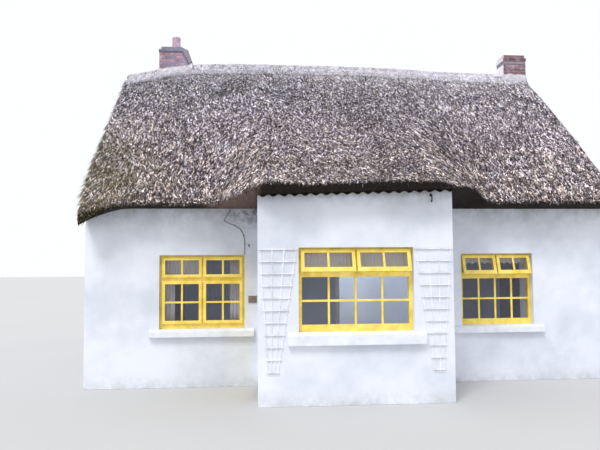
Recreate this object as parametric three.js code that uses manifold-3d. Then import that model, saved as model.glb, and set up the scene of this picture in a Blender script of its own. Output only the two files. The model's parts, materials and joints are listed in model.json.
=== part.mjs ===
// A terraced thatched cottage: a single-storey house with whitewashed masonry walls, a projecting porch bay
// with a wide window, timber windows, a straw roof swept out over the bay, and two brick chimneys.
// Units are millimetres. +X runs to the right along the front, +Y into the house and +Z up. The origin is
// on the ground at the middle of the main block, under the ridge.
import * as THREE from "three";
import { mergeVertices } from "three/addons/utils/BufferGeometryUtils.js";
import Module from "manifold-3d";

const wasm = await Module();
wasm.setup();

// Clearance kept between pieces that touch
const GAP = 0.3;

// Main block
const HALF_W = 4325;
const HALF_D = 3000;
const WALL_T = 500;
const PARTY_T = 350;
const WALL_TOP = 2836;
const FLOOR_T = 100;

// Porch bay
const BAY_L = -1613;
const BAY_R = 1152;
const BAY_OUT = 1372;
const BAY_WALL_T = 300;
const BAY_FRONT = -HALF_D - BAY_OUT;

// Roof
const PITCH_RISE = 0.953; // rise for each unit of run on the main slope's underside
const EAVE_OUT = 400;
const BAY_EAVE_OUT = 298;
const RIDGE_BAND = 430; // how far the ridge band reaches down each slope, in plan
const RIDGE_T = 60;
const BACK_EAVE_Z = 2910;
const LIP_T = 45; // thickness of the straw at its lip
const FOOT_SLOPE = { main: 1.0, bay: 0.46 }; // slope of the straw at the eave
const TOP_SLOPE = 0.86; // slope of the straw just below the ridge
// Heights along the house as [x, z]: the front lip droops at the left and lifts over the bay
const LIP_LINE = [
  [-4325, 2770], [-3900, 2860], [-3500, 2895], [-2800, 2892], [-2400, 2880], [-2250, 2892], [-2100, 2932],
  [-1900, 2968], [-1700, 3012], [-1500, 3058], [-1100, 3042], [-400, 3060], [200, 3085], [800, 3084],
  [1000, 3052], [1150, 3038], [1400, 3080], [1700, 3100], [1840, 3062], [1990, 2962], [2150, 2918],
  [2500, 2925], [4325, 2930],
];
const RIDGE_LINE = [
  [-4325, 5885], [-3665, 6025], [-2900, 6140], [-1625, 6168], [1005, 6145], [2600, 6075], [4325, 6045],
];

// Corrugated sheet that carries the straw over the bay
const SHEET_PITCH = 146;
const SHEET_WAVE = 15; // half the height of a wave
const SHEET_T = 7;
const SHEET_RISE = 0.364;
const SHEET_OUT = 120;
const SHEET_EDGE_Z = 2885; // middle of the wave at the front edge's left end
const SHEET_TILT = 0.03; // the sheet climbs to the right by this much for each unit of x

// Windows: the sizes are those of the frames
const LEFT_WINDOW = { x0: -3168, x1: -1814, z0: 915, z1: 2090, transom: [1660, 1746] };
const RIGHT_WINDOW = { x0: 1751, x1: 2975, z0: 915, z1: 2090, transom: [1676, 1774] };
const BAY_WINDOW = { x0: -1046, x1: 581, z0: 1003, z1: 2178, transom: [1764, 1862] };
const REVEAL = 85; // from the wall's face back to the window frame
const FRAME_T = 50;
const FRAME_D = 90;
const FRAME_FOOT = 95; // a frame's bottom rail is deeper than the others
const SASH_T = 36;
const SASH_RAIL = 48;
const SASH_LAP = 14; // how far a sash laps its frame all round
const GLASS_T = 6;
const BAR_D = 62; // depth of a frame's transom and mullions, which stand in front of the glass
const SIDES = ["left", "right"];
const VENT_TILT = 0.32; // radians that the open vents stand out
const VENT_FOOT = { drop: 31, extra: 18 }; // an open vent's foot laps further, with a rail that is wider

// Sills
const SILL_OUT = 75;
const SILL_PAST = 152;
const SILL_FALL = 28;
const SILL_H = 122;
const BAY_SILL_H = 175;

// Doorways
const DOOR = { y0: -3972, y1: -3112, z1: 2130 };
const DOOR_FRAME_T = 55;
const DOOR_FRAME_D = 90;
const DOOR_T = 46;
const DOOR_SET = 110; // from the wall's face back to the door frame
const INNER_DOOR = { x0: -1180, x1: -280, z1: 2080 };

// Chimneys
const STACK_HALF = 180; // half of a stack's depth
const BREAST_HALF = 330;
const LEFT_STACK = { x0: -3650, x1: -3154, top: 6516 };
const RIGHT_STACK = { x0: 3815, x1: 4312, top: 6478 };
const BREAST_TOP = 4600;
const STACK_SEAT = 5200; // where the right stack bears on the party wall
const SHOULDER = { out: 131, drop: 246, foot: 5750, cope: 54, lap: 18 }; // raked, against the left stack
const FLUE_R = 78;
const FLUE_DEPTH = 700;
const CREST_OUT = -37; // the left stack's top course is set in
const POT_X = -3322;

// Fan trellises on the bay's front
const TRELLIS = {
  top: 2178, foot: 430, halfTop: 264, halfFoot: 72,
  uprights: 4, rows: 11, batten: 18, thick: 11,
};
const TRELLIS_LEFT = { footX: -1408, topX: -1329 };
const TRELLIS_RIGHT = { footX: 920, topX: 862 };

const paint = (color, roughness) => new THREE.MeshStandardMaterial({ color, roughness, metalness: 0 });
const LIMEWASH = paint(0xe9eaf2, 0.9);
const WHITE_SILL = paint(0xe6e6ea, 0.8);
const YELLOW = paint(0xe2bc3f, 0.45);
const STRAW = paint(0x8d8078, 1);
const RIDGE_STRAW = paint(0xb5aaa2, 1);
const BRICK = paint(0x96645c, 0.9);
const CLAY = paint(0xb07a70, 0.8);
const SHEETING = paint(0x6d6a66, 0.8);
const TIMBER = paint(0x8a6f52, 0.8);
const CONCRETE = paint(0x80786c, 0.9);
const LATTICE = paint(0xf1f1f4, 0.6);
const PLATE = paint(0x8d8378, 0.7);
const CABLE = paint(0x24262b, 0.6);
const GLASS = paint(0x5c6a7c, 0.05);

const cottage = new THREE.Group();

/** Adds a named piece to a group. */
function add(name, shape, material, group = cottage) {
  const mesh = new THREE.Mesh(toGeometry(shape), material);
  mesh.name = name;
  group.add(mesh);
}

/** A geometry as a solid that can be joined and cut. */
function toSolid(geometry) {
  const bare = geometry.clone();
  bare.deleteAttribute("normal");
  bare.deleteAttribute("uv");
  const merged = mergeVertices(bare, 1e-3);
  return new wasm.Manifold(
    new wasm.Mesh({
      numProp: 3,
      vertProperties: new Float32Array(merged.attributes.position.array),
      triVerts: new Uint32Array(merged.index.array),
    }),
  );
}

/** A solid as a geometry. */
function toGeometry(solid) {
  const { numProp, numVert, vertProperties, triVerts } = solid.getMesh();
  const points = new Float32Array(numVert * 3);
  for (let i = 0; i < numVert; i++) {
    points.set(vertProperties.subarray(i * numProp, i * numProp + 3), i * 3);
  }
  const geometry = new THREE.BufferGeometry();
  geometry.setAttribute("position", new THREE.BufferAttribute(points, 3));
  geometry.setIndex(new THREE.BufferAttribute(new Uint32Array(triVerts), 1));
  geometry.computeVertexNormals();
  return geometry;
}

const join = (solids) => solids.reduce((whole, part) => whole.add(part));
const cut = (solid, cutters) => cutters.reduce((left, cutter) => left.subtract(cutter), solid);

/** A solid box between two corners. */
function block(x0, x1, y0, y1, z0, z1) {
  const box = new THREE.BoxGeometry(x1 - x0, y1 - y0, z1 - z0);
  return toSolid(box.translate((x0 + x1) / 2, (y0 + y1) / 2, (z0 + z1) / 2));
}

/** A solid through like outlines, each a list of [y, z] in a plane of constant x. */
function loft(sections) {
  const ring = sections[0].outline.length;
  const flat = sections.map(({ x, outline }) => {
    const points = outline.map(([y, z]) => new THREE.Vector2(y, z));
    return { x, points: THREE.ShapeUtils.isClockWise(points) ? points.reverse() : points };
  });
  const faces = [];
  for (let i = 0; i + 1 < flat.length; i++)
    for (let j = 0; j < ring; j++) {
      const [a, b] = [i * ring + j, i * ring + ((j + 1) % ring)];
      faces.push(a, b, a + ring, b, b + ring, a + ring);
    }
  const last = flat.length - 1;
  for (const [a, b, c] of THREE.ShapeUtils.triangulateShape(flat[0].points, [])) faces.push(c, b, a);
  for (const face of THREE.ShapeUtils.triangulateShape(flat[last].points, []))
    faces.push(...face.map((k) => last * ring + k));
  const geometry = new THREE.BufferGeometry();
  const position = flat.flatMap(({ x, points }) => points.flatMap((p) => [x, p.x, p.y]));
  geometry.setAttribute("position", new THREE.Float32BufferAttribute(position, 3));
  geometry.setIndex(faces);
  return toSolid(geometry);
}

/** One outline of [y, z] points carried straight from x0 to x1. */
const prism = (x0, x1, outline) => loft([x0, x1].map((x) => ({ x, outline })));

/** One outline of [x, z] points carried straight from y0 to y1. */
function slab(y0, y1, outline) {
  const shape = new THREE.Shape(outline.map(([x, z]) => new THREE.Vector2(x, z)));
  const body = new THREE.ExtrudeGeometry(shape, { depth: y1 - y0, bevelEnabled: false });
  return toSolid(body.rotateX(Math.PI / 2).translate(0, y1, 0));
}

const clamp = (t, low, high) => Math.min(high, Math.max(low, t));
const clamp01 = (t) => clamp(t, 0, 1);
const smooth = (t) => clamp01(t) ** 2 * (3 - 2 * clamp01(t));
const between = (a, b, t) => a + (b - a) * t;
const steps = (from, to, count) =>
  Array.from({ length: count + 1 }, (_, i) => between(from, to, i / count));

// Roof planes and the sheet over the bay
const APEX = WALL_TOP + HALF_D * PITCH_RISE;
const slopeZ = (y) => APEX - Math.abs(y) * PITCH_RISE;
const SHEET_FRONT = BAY_FRONT - SHEET_OUT;
const SHEET_HALF = SHEET_WAVE + SHEET_T / 2;
const sheetZ = (x, y) => SHEET_EDGE_Z + (x - BAY_L) * SHEET_TILT + (y - SHEET_FRONT) * SHEET_RISE;
const crestZ = (x, y) => sheetZ(x, y) + SHEET_HALF;

/** Where a line over the front of the sheet, at a given height there, meets the main slope. */
const meetsSlope = (z) => SHEET_FRONT + (z - slopeZ(SHEET_FRONT)) / (PITCH_RISE - SHEET_RISE);
const SHEET_BACK = meetsSlope(crestZ(BAY_L, SHEET_FRONT) - 2 * SHEET_HALF - 2);

/** Height at x of a smooth line through a few points [x, z]. */
function along(line, x) {
  const k = Math.max(1, line.findIndex(([at]) => at >= x));
  const slope = (i) => {
    const [a, b] = [line[Math.max(0, i - 1)], line[Math.min(line.length - 1, i + 1)]];
    return (b[1] - a[1]) / (b[0] - a[0]);
  };
  const [[x0, z0], [x1, z1]] = [line[k - 1], line[k]];
  const t = (x - x0) / (x1 - x0);
  const lead = slope(k - 1) * t * (1 - t) ** 2 - slope(k) * t ** 2 * (1 - t);
  return between(z0, z1, smooth(t)) + lead * (x1 - x0);
}

/** 1 over the bay and 0 beside it. The sweep between them is short at the eave and spreads up the slope. */
function overBay(x, up = 0) {
  const spread = smooth(1.8 * up);
  const left = smooth((x - between(-2450, -3650, spread)) / between(1000, 2400, spread));
  const right = smooth((between(2150, 3450, spread) - x) / between(1150, 2600, spread));
  return left * right;
}

const eaveY = (x) => -HALF_D - between(EAVE_OUT, BAY_OUT + BAY_EAVE_OUT, overBay(x));
const eaveZ = (x) => along(LIP_LINE, x);
const ridgeZ = (x) => along(RIDGE_LINE, x);
/** How far the straw hangs at the left end, where the next house's lower roof meets it. */
const hang = (x) => 210 * smooth((-3650 - x) / 900);

/** A slope that springs from y0, z0 at a given slope and runs up to the ridge. */
function slopeFrom(x, y, y0, z0, footSlope) {
  const u = clamp01((y - y0) / -y0);
  const rise = between(z0, ridgeZ(x), 3 * u ** 2 - 2 * u ** 3);
  return rise - y0 * (footSlope * (u - 2 * u ** 2 + u ** 3) + TOP_SLOPE * (u ** 3 - u ** 2));
}

/** Height of the straw on the front slope. */
function strawFrontZ(x, y) {
  const [mainEave, bayEave] = [-HALF_D - EAVE_OUT, BAY_FRONT - BAY_EAVE_OUT];
  const bare = (at) => {
    const main = slopeFrom(x, at, mainEave, 2920, FOOT_SLOPE.main);
    const bay = slopeFrom(x, at, bayEave, 3050, FOOT_SLOPE.bay);
    return between(main, bay, overBay(x, (at - mainEave) / -mainEave));
  };
  const u = clamp01((y - eaveY(x)) / -eaveY(x));
  return bare(y) + (eaveZ(x) - bare(eaveY(x))) * (1 - u) ** 4;
}

/** Height of the straw on the back slope, which is plain and slightly domed. */
function strawBackZ(x, y) {
  const u = y / (HALF_D + EAVE_OUT);
  return between(ridgeZ(x), BACK_EAVE_Z, u) + 70 * Math.sin(Math.PI * u);
}

/** The straw on the front slope, resting on the walls and on the sheet over the bay. */
function strawFront() {
  const [left, right] = [BAY_L - GAP, BAY_R + GAP];
  const beside = [steps(-HALF_W, left - 1, 26), steps(right + 1, HALF_W, 30)];
  const places = [...beside[0], ...steps(left, right, 24), ...beside[1]];
  return loft(
    places.map((x) => {
      const overSheet = x >= left && x <= right;
      const bend = meetsSlope(crestZ(clamp(x, BAY_L, BAY_R), SHEET_FRONT));
      const foot = overSheet ? [SHEET_FRONT, crestZ(x, SHEET_FRONT)] : [-HALF_D, WALL_TOP];
      const heel = [foot[0] - GAP, foot[1] - hang(x)];
      const top = steps(eaveY(x), -GAP / 2, 14).map((y) => [y, strawFrontZ(x, y)]);
      const under = [[-GAP / 2, APEX], [bend, slopeZ(bend)], foot, heel].map(([y, z]) => [y, z + GAP]);
      return { x, outline: [...top, ...under, [eaveY(x), eaveZ(x) - LIP_T - hang(x)]] };
    }),
  );
}

/** The straw on the back slope. */
function strawBack() {
  const eave = HALF_D + EAVE_OUT;
  return loft(
    steps(-HALF_W, HALF_W, 20).map((x) => {
      const top = steps(GAP / 2, eave, 10).map((y) => [y, strawBackZ(x, y)]);
      const under = [[eave, BACK_EAVE_Z - LIP_T], [HALF_D, WALL_TOP + GAP], [GAP / 2, APEX + GAP]];
      return { x, outline: [...top, ...under] };
    }),
  );
}

/** The packed band dressed over the ridge, rounded on top and seated on the straw of both slopes. */
function strawRidge(front, back) {
  const [edgeT, fall, reach, sunk] = [34, 40, 160, 60];
  const lie = (x, y) => (y < 0 ? strawFrontZ(x, y) : strawBackZ(x, y));
  const band = loft(
    steps(-HALF_W, HALF_W, 20).map((x) => {
      const inner = steps(-RIDGE_BAND, RIDGE_BAND, 4).map((y) => [y, lie(x, y) - sunk]);
      const outer = steps(RIDGE_BAND, -RIDGE_BAND, 12).map((y) => {
        const rounded = ridgeZ(x) + RIDGE_T - fall * (y / reach) ** 2;
        return [y, Math.min(rounded, lie(x, y) + between(RIDGE_T, edgeT, Math.abs(y) / RIDGE_BAND))];
      });
      return { x, outline: [...inner, ...outer] };
    }),
  );
  const grown = (straw, side) => toSolid(toGeometry(straw).translate(0, side * GAP, 2 * GAP));
  return cut(band, [grown(front, 1), grown(back, -1)]);
}

/** The corrugated sheet over the bay. */
function baySheet() {
  const wave = (x) => SHEET_WAVE * Math.cos((2 * Math.PI * (x - BAY_L)) / SHEET_PITCH);
  const facets = Math.round(((BAY_R - BAY_L) / SHEET_PITCH) * 8);
  return loft(
    steps(BAY_L, BAY_R, facets).map((x) => {
      const at = (y, side) => [y, sheetZ(x, y) + wave(x) + (side * SHEET_T) / 2];
      const outline = [at(SHEET_FRONT, -1), at(SHEET_BACK, -1), at(SHEET_BACK, 1), at(SHEET_FRONT, 1)];
      return { x, outline };
    }),
  );
}

/** Rafters in pairs with a collar each, and a ridge board through them. */
function roofTimbers() {
  const [rafterW, rafterH, collarH, collarZ] = [60, 150, 120, 4450];
  const foot = HALF_D - WALL_T - GAP;
  const edge = (drop) => [foot, 0, -foot].map((y) => [y, slopeZ(y) - GAP - drop]);
  const pair = [...edge(0), ...edge(rafterH).reverse()];
  const collarHalf = (APEX - collarZ - collarH / 2 - rafterH / 2) / PITCH_RISE;
  const couples = steps(-2700, 3300, 8).flatMap((x) => [
    prism(x - rafterW / 2, x + rafterW / 2, pair),
    block(x - rafterW / 2, x + rafterW / 2, -collarHalf, collarHalf, collarZ, collarZ + collarH),
  ]);
  const [boardFoot, boardTop] = [APEX - 370, APEX - 90];
  const board = block(LEFT_STACK.x1 + GAP, RIGHT_STACK.x0 - GAP, -20, 20, boardFoot, boardTop);
  return join([...couples, board]);
}

// Masonry

/** What lies above the main slopes, to cut gables and wall heads with. */
function skyOver(x0, x1) {
  const reach = HALF_D + 200;
  const eaves = slopeZ(reach);
  return prism(x0, x1, [[-reach, eaves], [0, APEX], [reach, eaves], [reach, 8000], [-reach, 8000]]);
}

/** What lies above the troughs of the bay's sheet. */
function skyOverBay() {
  const [y0, y1] = [BAY_FRONT - 50, -HALF_D + 50];
  return loft(
    [BAY_L - 50, BAY_R + 50].map((x) => {
      const [front, back] = [y0, y1].map((y) => [y, sheetZ(x, y) - SHEET_HALF - GAP]);
      return { x, outline: [front, back, [y1, 5000], [y0, 5000]] };
    }),
  );
}

/** The hole for a window and its sill, through a wall whose outer face is at faceY. */
function windowHole({ x0, x1, z0, z1 }, faceY, sillH) {
  const inward = faceY > 0 ? -1 : 1;
  const span = (from, to) => [faceY + from * inward, faceY + to * inward].sort((a, b) => a - b);
  const [y0, y1] = span(-50, WALL_T + 50);
  const [s0, s1] = span(-50, REVEAL + FRAME_D);
  return block(x0 - GAP, x1 + GAP, y0, y1, z0, z1 + GAP).add(
    block(x0 - SILL_PAST - GAP, x1 + SILL_PAST + GAP, s0, s1, z0 - sillH - GAP, z0 + GAP / 2),
  );
}

/** The hole that a stack passes through. */
function stackHole({ x0, x1 }) {
  return block(x0 - GAP, x1 + GAP, -STACK_HALF - GAP, STACK_HALF + GAP, STACK_SEAT - GAP, 7000);
}

/** The hole in the straw for the left stack's shoulder. */
function shoulderHole() {
  const [x0, half] = [LEFT_STACK.x1 - 5, STACK_HALF + SHOULDER.lap + GAP];
  const x1 = LEFT_STACK.x1 + SHOULDER.out + SHOULDER.cope + GAP;
  return block(x0, x1, -half, half, SHOULDER.foot - GAP, 7000);
}

/** The walls of the main block. */
function mainWalls() {
  const inner = HALF_W - PARTY_T;
  const sky = skyOver(-HALF_W - 50, HALF_W + 50);
  const along = (name, x0, x1, y0, holes) =>
    add(name, cut(block(x0, x1, y0, y0 + WALL_T, 0, 3500), [sky, ...holes]), LIMEWASH);
  along("front_wall_left", -inner + GAP, BAY_L, -HALF_D, [windowHole(LEFT_WINDOW, -HALF_D, SILL_H)]);
  along("front_wall_right", BAY_R, inner - GAP, -HALF_D, [windowHole(RIGHT_WINDOW, -HALF_D, SILL_H)]);
  along("porch_wall_left", BAY_L + GAP, INNER_DOOR.x0, -HALF_D, []);
  along("porch_wall_right", INNER_DOOR.x1, BAY_R - GAP, -HALF_D, []);
  const belowLintel = block(-HALF_W, HALF_W, -HALF_D - 50, 0, -50, INNER_DOOR.z1);
  along("porch_lintel", INNER_DOOR.x0 + GAP, INNER_DOOR.x1 - GAP, -HALF_D, [belowLintel]);
  const backHoles = [LEFT_WINDOW, RIGHT_WINDOW].map((spec) => windowHole(turned(spec), HALF_D, SILL_H));
  along("back_wall", -inner + GAP, inner - GAP, HALF_D - WALL_T, backHoles);
  const gable = (x0, x1) => cut(block(x0, x1, -HALF_D, HALF_D, 0, 6000), [sky]);
  add("party_wall_left", gable(-HALF_W, -inner), LIMEWASH);
  add("party_wall_right", cut(gable(inner, HALF_W), [stackHole(RIGHT_STACK)]), LIMEWASH);
}

/** The walls of the porch bay. The front door is in its left side. */
function bayWalls() {
  const sky = skyOverBay();
  const hole = windowHole(BAY_WINDOW, BAY_FRONT, BAY_SILL_H);
  const behind = BAY_FRONT + BAY_WALL_T + GAP;
  const wall = (name, x0, x1, y0, y1, foot, holes = []) =>
    add(name, cut(block(x0, x1, y0, y1, foot, 3600), [sky, ...holes]), LIMEWASH);
  wall("bay_front_wall", BAY_L, BAY_R, BAY_FRONT, BAY_FRONT + BAY_WALL_T, 0, [hole]);
  wall("bay_right_wall", BAY_R - BAY_WALL_T, BAY_R, behind, -HALF_D - GAP, 0);
  const [x0, x1] = [BAY_L, BAY_L + BAY_WALL_T];
  wall("bay_left_wall_front", x0, x1, behind, DOOR.y0, 0);
  wall("bay_left_wall_rear", x0, x1, DOOR.y1, -HALF_D - GAP, 0);
  wall("bay_door_lintel", x0, x1, DOOR.y0 + GAP, DOOR.y1 - GAP, DOOR.z1);
}

/** The concrete floor of the room, the bay and the doorways. */
function floor() {
  const [inX, inY] = [HALF_W - PARTY_T - GAP, HALF_D - WALL_T - GAP];
  const bayL = BAY_L + BAY_WALL_T + GAP;
  const bayFront = BAY_FRONT + BAY_WALL_T + GAP;
  return join([
    block(-inX, inX, -inY, inY, 0, FLOOR_T),
    block(INNER_DOOR.x0 + GAP, INNER_DOOR.x1 - GAP, -HALF_D - 5, -inY + 5, 0, FLOOR_T),
    block(bayL, BAY_R - BAY_WALL_T - GAP, bayFront, -HALF_D - GAP, 0, FLOOR_T),
    block(BAY_L, bayL + 5, DOOR.y0 + GAP, DOOR.y1 - GAP, 0, FLOOR_T),
  ]);
}

/** A round upright bore down the middle of a stack. */
function flue(x, top) {
  const bore = new THREE.CylinderGeometry(FLUE_R, FLUE_R, FLUE_DEPTH + 50, 20);
  return toSolid(bore.rotateX(Math.PI / 2).translate(x, 0, top + (50 - FLUE_DEPTH) / 2));
}

/** A run of a stack's courses, set out or in from its faces. */
const course = ({ x0, x1 }, out, z0, z1) =>
  block(x0 - out, x1 + out, -STACK_HALF - out, STACK_HALF + out, z0, z1);

/** The raked shoulder that leans against a stack's right side, under a coping and a weathered fall. */
function shoulder({ x1, top }) {
  const { out, drop, foot, cope, lap } = SHOULDER;
  const [head, x] = [top - 124, x1 - 5];
  const body = [[x, foot], [x1 + out, foot], [x1 + out, head - drop], [x1 + 2, head], [x, head]];
  const band = [
    [x, head], [x1 + 2, head], [x1 + out, head - drop],
    [x1 + out + cope, head - drop + cope], [x1 + 100, top - 76], [x, top - 62],
  ];
  const fall = [[x1 + CREST_OUT - 5, top], [x1 + 96, top - 78], [x1 + CREST_OUT - 5, top - 78]];
  const [half, inner] = [STACK_HALF + lap, STACK_HALF + CREST_OUT];
  return join([
    slab(-STACK_HALF, STACK_HALF, body), slab(-half, half, band), slab(-inner, inner, fall),
  ]);
}

/** The two stacks on their breasts, and the left one's pot. */
function chimneys() {
  const inner = HALF_W - PARTY_T - GAP;
  const base = FLOOR_T + GAP;
  const [left, right] = [LEFT_STACK, RIGHT_STACK];
  const leftBody = join([
    block(-inner, left.x1, -BREAST_HALF, BREAST_HALF, base, BREAST_TOP),
    course(left, 0, BREAST_TOP - 10, left.top - 100),
    course(left, 8, left.top - 124, left.top - 62),
    course(left, CREST_OUT, left.top - 80, left.top),
    shoulder(left),
  ]);
  add("chimney_left", cut(leftBody, [flue(POT_X, left.top)]), BRICK);
  const rightBody = join([
    block(right.x0, inner, -BREAST_HALF, BREAST_HALF, base, BREAST_TOP),
    block(right.x0, inner, -STACK_HALF, STACK_HALF, BREAST_TOP - 10, STACK_SEAT + 10),
    course(right, 0, STACK_SEAT, right.top - 204),
    course(right, -4, right.top - 214, right.top - 133),
    course(right, 10, right.top - 137, right.top - 63),
    course(right, -17, right.top - 68, right.top),
  ]);
  add("chimney_right", cut(rightBody, [flue((right.x0 + right.x1) / 2, right.top)]), BRICK);
  const [bore, wall, tall, bead] = [62, 24, 246, 3];
  const foot = [[0, 0], [wall + 5, 0], [wall + 3, 30], [wall - 1, tall - 48]];
  const rim = [[wall + bead, tall - 43], [wall + bead, tall - 8], [wall, tall], [0, tall], [0, 0]];
  const outline = [...foot, ...rim].map(([r, z]) => new THREE.Vector2(bore + r, z));
  const pot = new THREE.LatheGeometry(outline, 24).rotateX(Math.PI / 2).translate(POT_X, 0, left.top + GAP);
  add("chimney_pot", toSolid(pot), CLAY);
}

// Windows. Each is built in a wall whose outer face is y = 0, with +y going in.

/** A front window's place on the back wall, which is seen from the other side. */
function turned(spec) {
  return { ...spec, x0: -spec.x1, x1: -spec.x0 };
}

const pane = ([x0, x1, z0, z1], y0, y1) => block(x0, x1, y0, y1, z0, z1);
const inset = ([x0, x1, z0, z1], by) => [x0 + by, x1 - by, z0 + by, z1 - by];

/** The clear lights above and below the transom, each a row of a given number. */
function lights({ x0, x1, z0, z1, transom }, above, below) {
  const row = (count, foot, head) => {
    const edges = steps(x0 + FRAME_T / 2, x1 - FRAME_T / 2, count);
    return edges.slice(1).map((edge, i) => [edges[i] + FRAME_T / 2, edge - FRAME_T / 2, foot, head]);
  };
  return { above: row(above, transom[1], z1 - FRAME_T), below: row(below, z0 + FRAME_FOOT, transom[0]) };
}

/** A sash lapped on the outside of its light, with its back at a given depth, turned out about its head. */
function sash(light, back, tilt) {
  const outer = inset(light, -SASH_LAP);
  if (tilt) outer[2] -= VENT_FOOT.drop;
  const clear = inset(outer, SASH_RAIL);
  if (tilt) clear[2] += VENT_FOOT.extra;
  const flat = cut(pane(outer, back - SASH_T, back), [pane(clear, back - SASH_T - 5, back + 5)]);
  const leaf = toGeometry(flat).translate(0, -back, -outer[3]).rotateX(-tilt);
  return toSolid(leaf.translate(0, back, outer[3]));
}

/** A cast sill that laps the wall past each jamb and falls outwards. */
function sill({ x0, x1, z0 }, sillH) {
  const back = REVEAL + FRAME_D - GAP;
  const [foot, head] = [z0 - sillH, z0 - GAP];
  const outline = [
    [-SILL_OUT, foot], [back, foot], [back, head],
    [-2, head], [-SILL_OUT, head - SILL_FALL],
  ];
  return prism(x0 - SILL_PAST, x1 + SILL_PAST, outline);
}

/** The frame of a window: a deep rim, with a thinner transom and mullions that leave room for the glass. */
function windowFrame({ x0, x1, z0, z1 }, rows) {
  const all = [x0, x1, z0, z1];
  const inside = pane(inset(all, FRAME_T), REVEAL - 5, REVEAL + FRAME_D + 5);
  const rim = cut(pane(all, REVEAL, REVEAL + FRAME_D), [inside]);
  const bars = pane(inset(all, FRAME_T / 2), REVEAL, REVEAL + BAR_D);
  return rim.add(cut(bars, rows.map((light) => pane(light, REVEAL - 5, REVEAL + BAR_D + 5))));
}

/**
 * A window with two top-hung vents over casements, or over one fixed light where it has no casements. Loose
 * sashes are pieces of their own, and the others are one with the frame.
 */
function window(name, spec, faceY, { sillH = SILL_H, casements = 0, tilt = 0, loose = true }) {
  const group = new THREE.Group();
  group.position.y = faceY;
  group.rotation.z = faceY > 0 ? Math.PI : 0;
  cottage.add(group);
  const { above, below } = lights(spec, 2, casements || 1);
  const frame = windowFrame(spec, [...above, ...below]);
  const hung = [
    ...above.map((light, i) => ({ light, turn: tilt, label: `vent_${SIDES[i]}` })),
    ...(casements ? below.map((light, i) => ({ light, turn: 0, label: `casement_${SIDES[i]}` })) : []),
  ];
  if (loose) {
    for (const { light, turn, label } of hung) {
      add(`${name}_${label}`, sash(light, REVEAL - GAP, turn), YELLOW, group);
    }
    add(`${name}_frame`, frame, YELLOW, group);
  } else {
    const fixed = hung.map(({ light }) => sash(light, REVEAL + 2, 0));
    add(`${name}_frame`, join([frame, ...fixed]), YELLOW, group);
  }
  const glassY = REVEAL + BAR_D + GAP;
  const clear = inset([spec.x0, spec.x1, spec.z0, spec.z1], FRAME_T + GAP);
  add(`${name}_glass`, pane(clear, glassY, glassY + GLASS_T), GLASS, group);
  add(`${name}_sill`, sill(spec, sillH), WHITE_SILL, group);
}

/** The frame and leaf of the front door in the bay's left side. */
function frontDoor() {
  const { y0, y1, z1 } = DOOR;
  const x0 = BAY_L + DOOR_SET;
  const x1 = x0 + DOOR_FRAME_D;
  const foot = FLOOR_T + GAP;
  const clear = [y0 + DOOR_FRAME_T, y1 - DOOR_FRAME_T, foot + 25, z1 - DOOR_FRAME_T];
  const hole = block(x0 - 5, x1 + 5, ...clear);
  add("door_frame", cut(block(x0, x1, y0 + GAP, y1 - GAP, foot, z1 - GAP), [hole]), YELLOW);
  add("front_door", block(x0 + 10, x0 + 10 + DOOR_T, ...inset(clear, GAP)), YELLOW);
}

/** A fan trellis: battens that spread upwards, crossed by level ones. */
function trellis({ footX, topX }) {
  const { top, foot, halfTop, halfFoot, uprights, rows, batten, thick } = TRELLIS;
  const back = BAY_FRONT - GAP;
  const half = (z) => between(halfFoot, halfTop, (z - foot) / (top - foot));
  const mid = (z) => between(footX, topX, (z - foot) / (top - foot));
  const fan = steps(-1, 1, uprights - 1).map((side) => {
    const edge = (z, out) => [mid(z) + side * (half(z) - batten / 2) + (out * batten) / 2, z];
    return slab(back - thick, back, [edge(foot, -1), edge(foot, 1), edge(top, 1), edge(top, -1)]);
  });
  const barBack = back - thick + 2;
  const bars = steps(foot + 40, top - 20, rows - 1).map((z) => {
    const reach = half(z) + 12;
    return block(mid(z) - reach, mid(z) + reach, barBack - thick, barBack, z - batten / 2, z + batten / 2);
  });
  return join([...fan, ...bars]);
}

/** The thin black cable that runs down the wall from the eave to the left window. */
function wallCable() {
  const radius = 6;
  const y = -HALF_D - radius - GAP;
  const route = [
    [-2042, 2832], [-2054, 2785], [-2095, 2715], [-2142, 2652], [-2080, 2604],
    [-1978, 2566], [-1890, 2508], [-1828, 2400], [-1811, 2260], [-1816, 2096],
  ];
  const path = new THREE.CatmullRomCurve3(route.map(([x, z]) => new THREE.Vector3(x, y, z)));
  const ring = new THREE.Path().absarc(0, 0, radius, 0, 2 * Math.PI).getPoints(8).slice(0, 8);
  const section = new THREE.Shape(ring);
  return toSolid(new THREE.ExtrudeGeometry(section, { steps: 48, extrudePath: path, bevelEnabled: false }));
}

mainWalls();
bayWalls();
add("floor", floor(), CONCRETE);
chimneys();
const stackHoles = [stackHole(LEFT_STACK), stackHole(RIGHT_STACK), shoulderHole()];
const [frontStraw, backStraw] = [strawFront(), strawBack()];
add("thatch_front", cut(frontStraw, stackHoles), STRAW);
add("thatch_back", cut(backStraw, stackHoles), STRAW);
add("thatch_ridge", cut(strawRidge(frontStraw, backStraw), stackHoles), RIDGE_STRAW);
add("bay_sheet", baySheet(), SHEETING);
add("roof_timbers", roofTimbers(), TIMBER);
window("left_window", LEFT_WINDOW, -HALF_D, { casements: 2 });
window("right_window", RIGHT_WINDOW, -HALF_D, { tilt: VENT_TILT });
window("bay_window", BAY_WINDOW, BAY_FRONT, { sillH: BAY_SILL_H, tilt: VENT_TILT });
window("back_window_left", LEFT_WINDOW, HALF_D, { casements: 2, loose: false });
window("back_window_right", RIGHT_WINDOW, HALF_D, { loose: false });
frontDoor();
add("trellis_left", trellis(TRELLIS_LEFT), LATTICE);
add("trellis_right", trellis(TRELLIS_RIGHT), LATTICE);
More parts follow.
